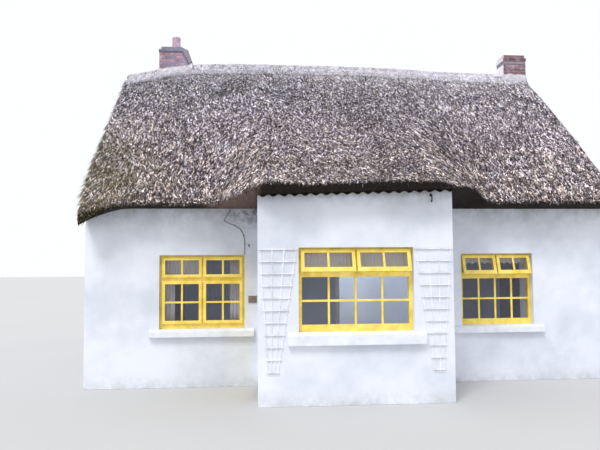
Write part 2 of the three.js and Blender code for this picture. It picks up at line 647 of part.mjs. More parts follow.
add("number_plate", block(-1755, -1622, -HALF_D - 12 - GAP, -HALF_D - GAP, 1320, 1432), PLATE);
add("wall_cable", wallCable(), CABLE);

export default cottage;
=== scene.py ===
"""Looks of a terraced thatched cottage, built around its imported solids.

Lengths are metres in the solids' own frame: +X runs to the right along the front, +Y into the house and +Z up.
Each sub-assembly is a class that builds and dresses its pieces, and each finish is a class that makes a material.
"""

from __future__ import annotations

import json
import logging
import math
import random
from dataclasses import dataclass, field
from enum import Enum
from typing import Iterable, Sequence

import bmesh
import bpy
import numpy as np
from mathutils import Matrix, Vector, noise
from mathutils.bvhtree import BVHTree


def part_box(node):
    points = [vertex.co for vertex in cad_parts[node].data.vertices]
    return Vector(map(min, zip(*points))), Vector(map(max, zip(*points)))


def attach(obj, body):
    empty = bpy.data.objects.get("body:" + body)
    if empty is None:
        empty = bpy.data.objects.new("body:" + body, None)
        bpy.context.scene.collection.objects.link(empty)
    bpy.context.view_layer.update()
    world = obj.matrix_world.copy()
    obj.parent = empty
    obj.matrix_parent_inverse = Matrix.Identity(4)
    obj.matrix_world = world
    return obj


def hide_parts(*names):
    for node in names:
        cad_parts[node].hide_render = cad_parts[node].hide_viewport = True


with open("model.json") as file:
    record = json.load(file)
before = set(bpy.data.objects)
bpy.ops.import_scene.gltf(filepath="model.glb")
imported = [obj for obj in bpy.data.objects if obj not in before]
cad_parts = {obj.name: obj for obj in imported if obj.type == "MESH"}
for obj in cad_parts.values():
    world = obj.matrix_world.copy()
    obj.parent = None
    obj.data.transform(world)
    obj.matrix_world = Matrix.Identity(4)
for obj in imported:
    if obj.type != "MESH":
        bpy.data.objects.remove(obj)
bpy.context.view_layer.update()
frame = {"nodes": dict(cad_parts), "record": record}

LOG = logging.getLogger("cottage")
ROOT = "root"
INSET = 2e-4  # how far a remade surface stays inside its solid's ends
CREST_GAP = 3e-4  # how far each coat stops short of the ridge line
SOLID_GAP = 3e-4  # clearance between the solids that touch

Colour = tuple[float, float, float]
Face = tuple[int, ...]
Socket = bpy.types.NodeSocket
Value = float | Socket


def colour(red: int, green: int, blue: int) -> Colour:
    """Turns a display colour of three bytes into linear light."""
    parts = [c / 255 for c in (red, green, blue)]
    return tuple(c / 12.92 if c <= 0.04045 else ((c + 0.055) / 1.055) ** 2.4 for c in parts)


def tones(*shades: tuple[int, int, int]) -> tuple[Colour, ...]:
    """Turns several display colours into linear light."""
    return tuple(colour(*shade) for shade in shades)


# Node trees


class NodeTree:
    """A tree of nodes that is being built."""

    def __init__(self, tree: bpy.types.NodeTree) -> None:
        """Takes the tree that the nodes go into."""
        self.tree = tree

    def node(self, kind: str, **settings: object) -> bpy.types.Node:
        """Adds a node.

        Args:
            kind: the node's type.
            settings: its own properties.

        Returns:
            The node.
        """
        made = self.tree.nodes.new(kind)
        for key, value in settings.items():
            setattr(made, key, value)
        return made

    def feed(self, socket: Socket, value: object) -> None:
        """Links a socket to another one, or sets it to a plain value.

        Args:
            socket: the input that is fed.
            value: another node's output, or a number, vector or colour.
        """
        if isinstance(value, Socket):
            self.tree.links.new(value, socket)
        elif socket.type == "RGBA" and len(value) == 3:
            socket.default_value = (*value, 1.0)
        else:
            socket.default_value = value

    def fill(self, node: bpy.types.Node, **values: object) -> bpy.types.Node:
        """Feeds a node's inputs.

        Args:
            node: the node.
            values: what each input gets, under its name with underscores for spaces.

        Returns:
            The same node.
        """
        for key, value in values.items():
            self.feed(next(s for s in node.inputs if s.name == key.replace("_", " ") and s.enabled), value)
        return node

    def math(self, operation: str, *values: Value) -> Socket:
        """Adds one sum.

        Args:
            operation: the kind of sum.
            values: its one to three values.

        Returns:
            The result's socket.
        """
        made = self.node("ShaderNodeMath", operation=operation)
        for socket, value in zip(made.inputs, values):
            self.feed(socket, value)
        return made.outputs[0]

    def times(self, product: Value, *others: Value) -> Socket:
        """Multiplies two or more values.

        Args:
            product: the first value.
            others: those that it is multiplied by.

        Returns:
            The product's socket.
        """
        for value in others:
            product = self.math("MULTIPLY", product, value)
        return product


class Graph(NodeTree):
    """A material's tree, with short calls for the nodes that the finishes share."""

    def __init__(self, name: str) -> None:
        """Starts a material with one principled shader.

        Args:
            name: the material's name.
        """
        self.material = bpy.data.materials.new(name)
        self.material.use_nodes = True
        super().__init__(self.material.node_tree)
        self.tree.nodes.clear()
        self.shader = self.node("ShaderNodeBsdfPrincipled")
        self.fill(self.node("ShaderNodeOutputMaterial"), Surface=self.shader.outputs[0])
        self.place = self.node("ShaderNodeTexCoord").outputs["Object"]

    def surface(self, **values: object) -> None:
        """Feeds the shader's sockets, named with underscores for their spaces."""
        self.fill(self.shader, **values)

    def mapped(self, scale: Sequence[float], turn: Sequence[float] = (0, 0, 0)) -> Socket:
        """Object coordinates, turned and then scaled on each axis."""
        turned = self.fill(self.node("ShaderNodeMapping"), Vector=self.place, Rotation=turn)
        return self.fill(self.node("ShaderNodeMapping"), Vector=turned.outputs[0], Scale=scale).outputs[0]

    def noise(self, scale: float, detail: float = 4, rough: float = 0.55, vector: Socket | None = None,
              distort: float = 0) -> Socket:
        """A cloudy value from 0 to 1.

        Args:
            scale: how many clouds fit in a metre.
            detail: how many finer layers there are.
            rough: how strong the finer layers are.
            vector: the coordinates, which are the object's own if left out.
            distort: how far the clouds are stirred.

        Returns:
            The value's socket.
        """
        made = self.fill(self.node("ShaderNodeTexNoise"), Vector=vector or self.place, Scale=scale, Detail=detail,
                         Roughness=rough, Distortion=distort)
        return made.outputs["Fac"]

    def clouds(self, scale: float, detail: float, rough: float, low: float, high: float) -> Socket:
        """Noise cut to patches: 0 where it is below low and 1 above high."""
        return self.span(self.noise(scale, detail, rough), low, high)

    def cells(self, scale: float, vector: Socket | None = None) -> bpy.types.Node:
        """A Voronoi node over the given coordinates."""
        return self.fill(self.node("ShaderNodeTexVoronoi"), Vector=vector or self.place, Scale=scale)

    def ramp(self, value: Value, *stops: tuple[float, Colour | float]) -> Socket:
        """Maps a value to a colour or grey.

        Args:
            value: what is mapped.
            stops: pairs of a position and the colour or grey there.

        Returns:
            The colour's socket.
        """
        made = self.node("ShaderNodeValToRGB")
        self.feed(made.inputs[0], value)
        elements = made.color_ramp.elements
        while len(elements) < len(stops):
            elements.new(0.5)
        for element, (position, shade) in zip(elements, stops):
            element.position = position
            element.color = (*shade, 1) if isinstance(shade, tuple) else (shade, shade, shade, 1)
        return made.outputs[0]

    def mix(self, share: Value, first: object, second: object, blend: str = "MIX") -> Socket:
        """Mixes two colours.

        Args:
            share: how much of the second shows.
            first: the colour below.
            second: the colour above.
            blend: the way they are mixed.

        Returns:
            The mixed colour's socket.
        """
        made = self.node("ShaderNodeMix", data_type="RGBA", blend_type=blend)
        for socket, value in zip((made.inputs[0], made.inputs[6], made.inputs[7]), (share, first, second)):
            self.feed(socket, value)
        return made.outputs[2]

    def shade(self, base: object, tone: object, share: Value | None = None) -> Socket:
        """Multiplies a colour by a tone, all over or by a share."""
        shaded = self.mix(1.0, base, tone, "MULTIPLY")
        return shaded if share is None else self.mix(share, base, shaded)

    def span(self, value: Value, low: float, high: float) -> Socket:
        """0 below low and 1 above high, or the other way round, with an even rise between."""
        return self.fill(self.node("ShaderNodeMapRange"), Value=value, From_Min=low, From_Max=high).outputs[0]

    def axis(self, index: int, vector: Socket | None = None) -> Socket:
        """One coordinate of a vector, which is the object's own place if left out."""
        return self.fill(self.node("ShaderNodeSeparateXYZ"), Vector=vector or self.place).outputs[index]

    def facing(self, index: int) -> Socket:
        """One part of the surface's true normal."""
        return self.axis(index, self.node("ShaderNodeNewGeometry").outputs["True Normal"])

    def attribute(self, name: str) -> Socket:
        """The value that a mesh attribute holds."""
        return self.node("ShaderNodeAttribute", attribute_name=name).outputs["Fac"]

    def bump(self, height: Value, depth: float, strength: float = 1.0) -> None:
        """Adds relief over any that is already there.

        Args:
            height: the relief, from 0 to 1.
            depth: how deep it is, in metres.
            strength: how much of it shows.
        """
        before = self.shader.inputs["Normal"].links
        made = self.fill(self.node("ShaderNodeBump"), Height=height, Distance=depth, Strength=strength)
        if before:
            self.fill(made, Normal=before[0].from_socket)
        self.surface(Normal=made.outputs[0])


# Finishes

@dataclass(frozen=True)
class Finish:
    """The look of one kind of surface."""

    name: str

    def make(self) -> bpy.types.Material:
        """Builds the material.

        Returns:
            The material.
        """
        g = Graph(self.name)
        self.paint(g)
        return g.material

    def paint(self, g: Graph) -> None:
        """Lays the finish's own nodes."""
        raise NotImplementedError


@dataclass(frozen=True)
class Limewash(Finish):
    """Whitewash on smooth render, greyer and greener under the eaves, partly from green growth and partly as painted
    shade, and splashed at the foot.
    """

    clean: Colour = colour(232, 236, 246)
    dull: Colour = colour(208, 214, 224)
    # Green-grey of growth on the wall, also used for the painted shade under the eaves.
    algae_and_shade: Colour = colour(158, 162, 158)
    mould: Colour = colour(92, 94, 90)
    splash: Colour = colour(150, 145, 130)
    bay_y: tuple[float, float] = (-4.3, -4.2)
    # Heights over which the wall greys under the eaves, partly with green growth and partly with painted shade.
    recess_algae_and_shade: tuple[float, float] = (2.3, 2.84)
    bay_algae_and_shade: tuple[float, float] = (2.7, 2.95)
    mould_from: tuple[float, float] = (-2.35, -1.75)
    mould_to: tuple[float, float] = (-1.2, -1.5)
    mould_z: tuple[float, float] = (2.48, 2.74)
    splash_z: tuple[float, float] = (0.3, 0.0)

    def paint(self, g: Graph) -> None:
        """Lays patches, greying under the eaves that is partly green growth and partly painted shade, mould by the bay,
        splashes and specks.
        """
        across, height = g.axis(0), g.axis(2)
        patches = g.clouds(1.1, 6, 0.6, 0.38, 0.66)
        base = g.mix(patches, self.clean, self.dull)
        behind = g.span(g.axis(1), *self.bay_y)
        upright = g.math("ABSOLUTE", g.facing(1))
        # Partly green growth, partly painted shade: the wall greys towards the eaves, in the recess and on the bay.
        recess = g.times(g.math("POWER", g.span(height, *self.recess_algae_and_shade), 1.7), behind, upright)
        bay = g.times(g.math("POWER", g.span(height, *self.bay_algae_and_shade), 1.5), g.math("SUBTRACT", 1, behind))
        base = g.mix(g.times(g.math("ADD", recess, bay), 0.62, g.clouds(5.5, 7, 0.7, 0.36, 0.6)), base, self.algae_and_shade)
        corner = g.times(g.span(across, *self.mould_from), g.span(height, *self.mould_z), behind,
                         g.span(across, *self.mould_to))
        base = g.mix(g.times(corner, g.clouds(13, 6, 0.7, 0.44, 0.56), 0.7), base, self.mould)
        low = g.math("POWER", g.span(height, *self.splash_z), 2.0)
        base = g.mix(g.times(low, g.clouds(7, 6, 0.65, 0.36, 0.66), 0.45), base, self.splash)
        specks = g.span(g.cells(34).outputs["Distance"], 0.12, 0.04)
        base = g.mix(g.times(specks, 0.14), base, self.algae_and_shade)
        g.surface(Base_Color=base, Roughness=g.ramp(patches, (0, 0.78), (1, 0.9)))
        g.bump(g.noise(1.6, 3, 0.5), 0.02, 0.35)
        g.bump(g.noise(38, 4, 0.6), 0.0025, 0.5)


@dataclass(frozen=True)
class StrawBed(Finish):
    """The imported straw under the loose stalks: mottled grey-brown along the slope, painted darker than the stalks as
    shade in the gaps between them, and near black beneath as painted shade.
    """

    # The upper side, painted darker than the stalks as shade between them.
    pale: Colour = colour(108, 100, 104)
    middle: Colour = colour(54, 47, 50)
    dark: Colour = colour(18, 14, 15)
    # The underside: near black as painted shade, and browner as painted bounce light beside the bay.
    soffit_painted_shade: tuple[Colour, Colour] = tones((20, 15, 12), (50, 41, 36))
    porch_soffit_painted_light: tuple[Colour, Colour] = tones((74, 58, 54), (150, 126, 118))
    painted_light_from: tuple[float, float] = (-2.5, -2.2)
    painted_light_to: tuple[float, float] = (-1.55, -1.65)

    def paint(self, g: Graph) -> None:
        """Lays the upper side, the underside in painted shade, and painted bounce light on the underside beside the
        bay.
        """
        strands = g.noise(1.0, 4, 0.75, g.mapped((46, 12, 12)), 0.8)
        body = g.ramp(strands, (0.4, self.dark), (0.5, self.middle), (0.6, self.pale))
        mottle = g.noise(1.0, 5, 0.7, g.mapped((50, 30, 90)))
        # Painted shade under the coat, with painted light bounced from the wall beside the bay.
        under = g.ramp(mottle, *zip((0.4, 0.62), self.soffit_painted_shade))
        lit = g.ramp(mottle, *zip((0.38, 0.62), self.porch_soffit_painted_light))
        across = g.axis(0)
        under = g.mix(g.times(g.span(across, *self.painted_light_from), g.span(across, *self.painted_light_to)), under, lit)
        g.surface(Base_Color=g.mix(g.span(g.attribute("top"), 0.2, 0.7), under, body), Specular_IOR_Level=0.2,
                  Roughness=g.ramp(strands, (0.3, 1.0), (0.7, 0.86)))
        g.bump(strands, 0.02, 0.9)


def worn_crest(g: Graph, body: Socket) -> Socket:
    """Darkens straw along the crest of the ridge."""
    crest = g.span(g.math("ABSOLUTE", g.axis(1)), 0.13, 0.05)
    return g.shade(body, (0.6, 0.59, 0.61), g.times(crest, 0.5))


@dataclass(frozen=True)
class RidgeBed(Finish):
    """The bleached straw dressed over the ridge, in layers that run along it."""

    pale: Colour = colour(228, 225, 234)
    middle: Colour = colour(198, 194, 204)
    dark: Colour = colour(122, 114, 120)

    def paint(self, g: Graph) -> None:
        """Lays the layers, dark flecks and the worn crest."""
        layers = g.noise(1.0, 5, 0.7, g.mapped((3.4, 26, 26)), 0.5)
        body = g.ramp(layers, (0.34, self.dark), (0.46, self.middle), (0.56, self.pale))
        flecks = g.span(g.noise(1.0, 4, 0.7, g.mapped((46, 30, 30))), 0.6, 0.68)
        body = worn_crest(g, g.mix(g.times(flecks, 0.6), body, self.dark))
        g.surface(Base_Color=body, Roughness=g.ramp(layers, (0.3, 0.98), (0.7, 0.84)), Specular_IOR_Level=0.2)
        g.bump(layers, 0.02, 0.8)


@dataclass(frozen=True)
class StrawStalk(Finish):
    """Loose stalks, each with a tint of its own, weathered in broad patches, with painted shade on the lip and broad
    patches of painted sunlight.

    The pairs are places in metres, along the house or above the ground, between which a patch comes on.
    """

    shades: tuple[Colour, ...]
    clump_dark: float = 0.28
    clump_pale: float = 1.62
    cool: Colour = (0.95, 0.99, 1.08)
    warm: Colour = (1.04, 1.0, 0.89)
    worn: Colour = (0.45, 0.44, 0.48)
    moss: Colour = colour(126, 122, 66)
    rust: Colour = (0.95, 0.86, 0.72)
    lichen: Colour = (0.62, 0.7, 0.72)
    bleach: Colour = colour(206, 203, 208)
    rust_z: tuple[float, float] = (4.9, 3.2)
    tufts_z: tuple[float, float] = (4.5, 3.6)
    # Places where painted sunlight brightens the stalks.
    painted_sun_right: tuple[float, float] = (1.3, 2.9)
    painted_sun_left: tuple[float, float] = (-0.8, -2.0)
    painted_sun_left_z: tuple[float, float] = (5.5, 4.9)
    damp_x: tuple[float, float] = (-0.4, -1.3)
    damp_z: tuple[float, float] = (5.0, 5.35)
    bleach_z: tuple[float, float] = (5.35, 5.85)
    moss_x: tuple[float, float] = (-1.9, -3.4)
    moss_z: tuple[float, float] = (5.2, 3.4)

    def paint(self, g: Graph) -> None:
        """Lays the stalks' tints, their clumps, painted shade on the lip, painted sunlight in broad patches, and the
        patches of weather from the lip up to the ridge.
        """
        tint, across, height = g.attribute("tint"), g.axis(0), g.axis(2)
        body = g.ramp(tint, *zip((0.0, 0.34, 0.63, 0.9), self.shades))
        clumps = g.cells(1.0, g.mapped((44, 14, 14))).outputs["Color"]
        body = g.shade(body, g.ramp(g.axis(0, clumps), (0.0, self.clump_dark), (1.0, self.clump_pale)))
        body = g.shade(body, g.ramp(g.axis(1, clumps), (0.1, self.cool), (0.5, (1.0, 1.0, 1.0)), (0.9, self.warm)))
        # Painted shade: stalks on the lip, where the top mark is low, are darkened.
        body = g.shade(body, g.ramp(g.attribute("top"), (0.25, 0.25), (0.95, 1.0)))
        body = worn_crest(g, body)
        body = g.shade(body, self.worn, g.times(g.clouds(1.6, 8, 0.72, 0.4, 0.62), 0.55))
        low = g.times(g.span(height, *self.rust_z), g.clouds(2.2, 5, 0.6, 0.3, 0.56), 0.85)
        body = g.shade(body, self.rust, low)
        body = g.shade(body, g.ramp(g.noise(6.5, 4, 0.6), (0.36, 0.62), (0.64, 1.38)), g.span(height, *self.tufts_z))
        # Painted sunlight: stalks are brightened towards the right end and high up at the left.
        painted_sunlight = g.math("MAXIMUM", g.span(across, *self.painted_sun_right),
                       g.times(g.span(across, *self.painted_sun_left), g.span(height, *self.painted_sun_left_z)))
        body = g.shade(body, g.ramp(painted_sunlight, (0.0, 0.98), (1.0, 1.24)))
        damp = g.times(g.span(across, *self.damp_x), g.span(height, *self.damp_z), g.clouds(3.1, 6, 0.65, 0.44, 0.6))
        body = g.shade(body, self.lichen, g.times(damp, 0.6))
        high = g.times(g.span(height, *self.bleach_z), g.clouds(2.6, 5, 0.6, 0.4, 0.58), 0.5)
        body = g.mix(high, body, self.bleach)
        left = g.span(g.math("ADD", across, g.times(g.noise(1.4, 4, 0.6), 1.6)), *self.moss_x)
        body = g.mix(g.times(left, g.span(height, *self.moss_z), 0.4), body, self.moss)
        g.surface(Base_Color=body, Roughness=g.ramp(tint, (0.0, 0.95), (1.0, 0.74)), Specular_IOR_Level=0.25)
        g.bump(g.noise(160, 2, 0.5), 0.001, 0.4)


@dataclass(frozen=True)
class GlossPaint(Finish):
    """Brushed paint on timber, with dirt in the corners and bare spots on the edges."""

    fresh: Colour
    aged: Colour
    bare: Colour = colour(120, 100, 76)
    roughness: float = 0.38

    def paint(self, g: Graph) -> None:
        """Lays fresh and aged patches, chips and brush marks."""
        base = g.mix(g.clouds(6, 5, 0.6, 0.4, 0.68), self.fresh, self.aged)
        chips = g.times(g.clouds(60, 4, 0.7, 0.68, 0.74), g.clouds(9, 3, 0.5, 0.5, 0.6), 0.7)
        rough = g.math("MULTIPLY_ADD", g.noise(25, 4, 0.6), 0.3, self.roughness - 0.1)
        g.surface(Base_Color=g.mix(chips, base, self.bare), Roughness=rough)
        g.bump(g.noise(1.0, 3, 0.5, g.mapped((130, 130, 22))), 0.0008, 0.5)


@dataclass(frozen=True)
class Masonry(Finish):
    """Fired or cast masonry: clay, mortar, cement or concrete."""

    base: Colour
    second: Colour
    soot: Colour
    grain: float = 70
    depth: float = 0.002
    soot_share: float = 0.4

    def paint(self, g: Graph) -> None:
        """Lays two tones in patches, soot and grain."""
        patches = g.clouds(14, 5, 0.6, 0.35, 0.65)
        base = g.shade(g.mix(patches, self.base, self.second), (0.6, 0.58, 0.6), g.times(patches, 0.35))
        base = g.mix(g.times(g.clouds(5, 6, 0.65, 0.42, 0.7), self.soot_share), base, self.soot)
        g.surface(Base_Color=base, Roughness=g.ramp(patches, (0, 0.8), (1, 0.95)))
        g.bump(g.noise(self.grain, 5, 0.65), self.depth, 0.8)


@dataclass(frozen=True)
class BrickFace(Finish):
    """Weathered bricks of several firings, one tone a brick, with soot and pale bloom."""

    firings: tuple[Colour, ...]
    bloom: Colour = colour(206, 190, 204)
    soot: Colour = colour(74, 62, 70)

    def paint(self, g: Graph) -> None:
        """Lays a tone for each brick, soot and salts."""
        last = len(self.firings) - 1
        base = g.ramp(g.attribute("tint"), *((i / last, tone) for i, tone in enumerate(self.firings)))
        grime = g.clouds(9, 6, 0.7, 0.46, 0.64)
        base = g.mix(g.times(grime, 0.5), base, self.soot)
        salts = g.span(g.noise(6, 6, 0.7, g.mapped((1, 1, 1), (0.7, 0.3, 0.2))), 0.52, 0.68)
        base = g.mix(g.times(salts, 0.5), base, self.bloom)
        g.surface(Base_Color=base, Roughness=g.ramp(grime, (0, 0.8), (1, 0.95)))
        g.bump(g.noise(70, 5, 0.65), 0.003, 0.9)


@dataclass(frozen=True)
class Timber(Finish):
    """Rough sawn or weathered wood with grain along one axis."""

    light: Colour
    dark: Colour
    stretch: tuple[float, float, float] = (60, 6, 60)

    def paint(self, g: Graph) -> None:
        """Lays the grain in the colour, the gloss and the relief."""
        grain = g.noise(1.0, 6, 0.65, g.mapped(self.stretch), 1.2)
        g.surface(Base_Color=g.ramp(grain, (0.35, self.dark), (0.62, self.light)),
                  Roughness=g.ramp(grain, (0.3, 0.9), (0.7, 0.72)))
        g.bump(grain, 0.0015, 0.6)


@dataclass(frozen=True)
class WindowGlass(Finish):
    """Old clear glass, a little wavy and dusty. Daylight passes straight through it into the rooms."""

    dust: Colour = colour(64, 68, 84)
    body: float = 0.2

    def paint(self, g: Graph) -> None:
        """Lays a thin dusty film with long waves."""
        g.surface(Base_Color=self.dust, Roughness=g.ramp(g.noise(7, 5, 0.6), (0.3, 0.02), (0.75, 0.12)), IOR=2.0,
                  Alpha=self.body)
        g.bump(g.noise(3.5, 2, 0.4), 0.002, 0.25)


@dataclass(frozen=True)
class Plain(Finish):
    """A smooth small part with light mottling."""

    base: Colour
    worn: Colour
    roughness: float = 0.5
    metallic: float = 0.0

    def paint(self, g: Graph) -> None:
        """Lays the mottling and a fine grain."""
        rough = g.math("MULTIPLY_ADD", g.noise(30, 4, 0.6), 0.3, self.roughness - 0.15)
        g.surface(Base_Color=g.mix(g.clouds(40, 5, 0.65, 0.4, 0.65), self.base, self.worn), Roughness=rough,
                  Metallic=self.metallic)
        g.bump(g.noise(200, 3, 0.6), 0.0005, 0.5)


class Palette:
    """Every material of the house, each made once."""

    def __init__(self) -> None:
        """Builds all materials."""
        self.limewash = Limewash("old_limewash").make()
        self.straw_bed = StrawBed("straw_bed").make()
        self.ridge_bed = RidgeBed("ridge_bed").make()
        stalks = tones((24, 19, 20), (92, 84, 90), (174, 165, 175), (240, 234, 240))
        self.stalks = StrawStalk("straw_stalks", stalks).make()
        bleached = tones((76, 68, 74), (170, 165, 175), (226, 223, 232), (252, 251, 255))
        self.ridge_stalks = StrawStalk("ridge_stalks", bleached, clump_dark=0.78, clump_pale=1.2).make()
        self.yellow = GlossPaint("yellow_paint", *tones((252, 226, 112), (226, 194, 76))).make()
        self.white_paint = GlossPaint("white_lattice_paint", *tones((238, 240, 246), (210, 212, 216))).make()
        sill = tones((232, 236, 246), (218, 222, 230), (150, 146, 138))
        self.sill = GlossPaint("sill_paint", *sill, roughness=0.7).make()
        lilac = tones((134, 124, 144), (168, 156, 178), (186, 148, 168), (150, 128, 130))
        self.lilac_brick = BrickFace("lilac_brick", lilac).make()
        red = tones((96, 74, 80), (130, 100, 104), (152, 114, 120), (112, 94, 96))
        self.red_brick = BrickFace("red_brick", red).make()
        # A dark finish for the painted shadow under the stacks' courses and for the moss on the right stack's top.
        self.painted_shade_and_moss = self.masonry("painted_shade_and_moss_finish", (104, 98, 120), (124, 118, 138), (72, 68, 82), grain=50)
        self.cap = self.masonry("cast_cap", (152, 148, 168), (130, 128, 146), (106, 116, 108), grain=50)
        # Cement, painted near white with painted sunlight on its side.
        self.skin = self.masonry("cement_painted_light", (244, 242, 250), (230, 226, 238), (190, 184, 198), grain=40,
                                 soot_share=0.2)
        self.mortar = self.masonry("mortar", (146, 136, 146), (168, 158, 168), (100, 94, 104))
        self.flaunching = self.masonry("flaunching", (214, 210, 218), (186, 182, 188), (140, 134, 136), grain=40,
                                       soot_share=0.25)
        self.clay = self.masonry("pot_clay", (214, 190, 208), (196, 166, 180), (140, 116, 122), grain=90,
                                 depth=0.0012)
        self.sheet = self.masonry("cement_sheet", (82, 78, 75), (58, 54, 51), (32, 28, 26), grain=60, depth=0.0015)
        self.concrete = self.masonry("floor_concrete", (128, 120, 108), (108, 100, 90), (70, 64, 56), grain=45,
                                     soot_share=0.3)
        self.timber = Timber("sawn_timber", *tones((150, 118, 84), (92, 68, 46))).make()
        self.glass = WindowGlass("window_glass").make()
        # White net, tinted blue as a painted reflection of the sky in the glass in front of it.
        self.net = self.plain("net_cloth", (240, 242, 255), (224, 226, 246), roughness=0.85)
        self.plate = self.plain("weathered_plate", (146, 134, 120), (96, 86, 76), roughness=0.6, metallic=0.2)
        self.cable = self.plain("cable_sheath", (34, 36, 42), (58, 58, 62), roughness=0.55)
        self.iron = self.plain("dark_iron", (46, 42, 40), (92, 66, 50), roughness=0.6, metallic=0.5)
        self.zinc = self.plain("dull_zinc", (164, 164, 172), (128, 126, 132), roughness=0.6, metallic=0.4)

    @staticmethod
    def masonry(name: str, *shades: tuple[int, int, int], **grain: float) -> bpy.types.Material:
        """Makes a masonry finish from its two tones and its soot."""
        return Masonry(name, *tones(*shades), **grain).make()

    @staticmethod
    def plain(name: str, *shades: tuple[int, int, int], **gloss: float) -> bpy.types.Material:
        """Makes a plain finish from its two tones."""
        return Plain(name, *tones(*shades), **gloss).make()


# Meshes


def new_object(name: str, mesh: bpy.types.Mesh, material: bpy.types.Material, smooth: bool = False) -> bpy.types.Object:
    """Puts a mesh in the scene as a piece with one material.

    Args:
        name: the piece's name.
        mesh: its mesh.
        material: its finish.
        smooth: whether light runs softly over its edges.

    Returns:
        The piece.
    """
    mesh.materials.clear()
    mesh.materials.append(material)
    mesh.polygons.foreach_set("use_smooth", [smooth] * len(mesh.polygons))
    mesh.polygons.foreach_set("material_index", [0] * len(mesh.polygons))
    piece = bpy.data.objects.new(name, mesh)
    bpy.context.scene.collection.objects.link(piece)
    return piece


def settle(piece: bpy.types.Object, slot: str, *nodes: str) -> None:
    """Rides a finished piece on the house.

    Args:
        piece: the piece.
        slot: not used.
        nodes: the solids that it stands for.
    """
    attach(piece, ROOT)
    if nodes:
        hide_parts(*nodes)
    LOG.info("%s: %d faces%s", piece.name, len(piece.data.polygons), f", for {', '.join(nodes)}" if nodes else "")


def dress(nodes: Iterable[str], material: bpy.types.Material) -> None:
    """Gives solids that stay as they are a better material.

    Args:
        nodes: the solids' names.
        material: their finish.
    """
    for name in nodes:
        for held in frame["nodes"][name].material_slots:
            held.material = material
        LOG.info("%s: dressed in %s", name, material.name)


def merged_copy(node: str) -> bmesh.types.BMesh:
    """Copies a solid's mesh, with its loose triangles joined and its flat faces whole.

    Args:
        node: the solid's name.

    Returns:
        The copy.
    """
    bm = bmesh.new()
    bm.from_mesh(frame["nodes"][node].data)
    bmesh.ops.remove_doubles(bm, verts=bm.verts, dist=1e-4)
    bmesh.ops.dissolve_limit(bm, angle_limit=math.radians(1), verts=bm.verts, edges=bm.edges)
    return bm


def finished(bm: bmesh.types.BMesh, mesh: bpy.types.Mesh) -> bpy.types.Mesh:
    """Writes a bmesh to a mesh with its faces outwards, and frees it.

    Args:
        bm: the shape.
        mesh: the mesh that takes it.

    Returns:
        The same mesh.
    """
    bmesh.ops.recalc_face_normals(bm, faces=bm.faces)
    bm.to_mesh(mesh)
    bm.free()
    return mesh


def eased(bm: bmesh.types.BMesh, width: float, segments: int = 2, least: float = 25) -> None:
    """Rounds the sharp edges of a bmesh.

    Args:
        bm: the shape.
        width: how far each edge is eased, in metres.
        segments: how many faces the rounding has.
        least: the smallest angle in degrees that counts as sharp.
    """
    sharp = [e for e in bm.edges if len(e.link_faces) == 2 and e.calc_face_angle(0) > math.radians(least)]
    bmesh.ops.bevel(bm, geom=sharp, offset=width, segments=segments, profile=0.6, affect="EDGES", clamp_overlap=True)


def soften(node: str, width: float, material: bpy.types.Material, slot: str) -> None:
    """Replaces a solid by a copy with eased edges.

    Args:
        node: the solid's name.
        width: how far each edge is eased, in metres.
        material: the copy's finish.
        slot: its material slot.
    """
    bm = merged_copy(node)
    eased(bm, width)
    settle(new_object(f"{node}_eased", finished(bm, bpy.data.meshes.new(node)), material), slot, node)


def set_attribute(mesh: bpy.types.Mesh, name: str, values: Sequence) -> None:
    """Stores a value or a vector for each point.

    Args:
        mesh: the mesh.
        name: the attribute's name.
        values: as many numbers or vectors as the mesh has points.
    """
    held = np.asarray(values, np.float32)
    kind, key = ("FLOAT", "value") if held.ndim == 1 else ("FLOAT_VECTOR", "vector")
    mesh.attributes.new(name, kind, "POINT").data.foreach_set(key, held.ravel())


def lattice(rings: int, ring: int, closed: bool = False) -> list[Face]:
    """Joins equal rings of points, which are counted ring by ring.

    Args:
        rings: how many rings there are.
        ring: how many points each has.
        closed: whether the last ring joins the first. If it doesn't, both ends are capped.

    Returns:
        The faces.
    """
    faces = []
    for i in range(rings if closed else rings - 1):
        here, there = i * ring, (i + 1) % rings * ring
        faces += [(here + j, here + (j + 1) % ring, there + (j + 1) % ring, there + j) for j in range(ring)]
    if not closed:
        faces += [tuple(range(ring)), tuple(range((rings - 1) * ring, rings * ring))[::-1]]
    return faces


def ringed(name: str, rings: Sequence[Sequence], **marks: Sequence) -> bpy.types.Mesh:
    """Makes a closed mesh through equal rings of points.

    Args:
        name: the mesh's name.
        rings: the points of each ring.
        marks: what the mesh attributes of these names hold for each point.

    Returns:
        The mesh, with its faces outwards.
    """
    mesh = bpy.data.meshes.new(name)
    mesh.from_pydata([p for points in rings for p in points], [], lattice(len(rings), len(rings[0])))
    for key, values in marks.items():
        set_attribute(mesh, key, values)
    bm = bmesh.new()
    bm.from_mesh(mesh)
    return finished(bm, mesh)



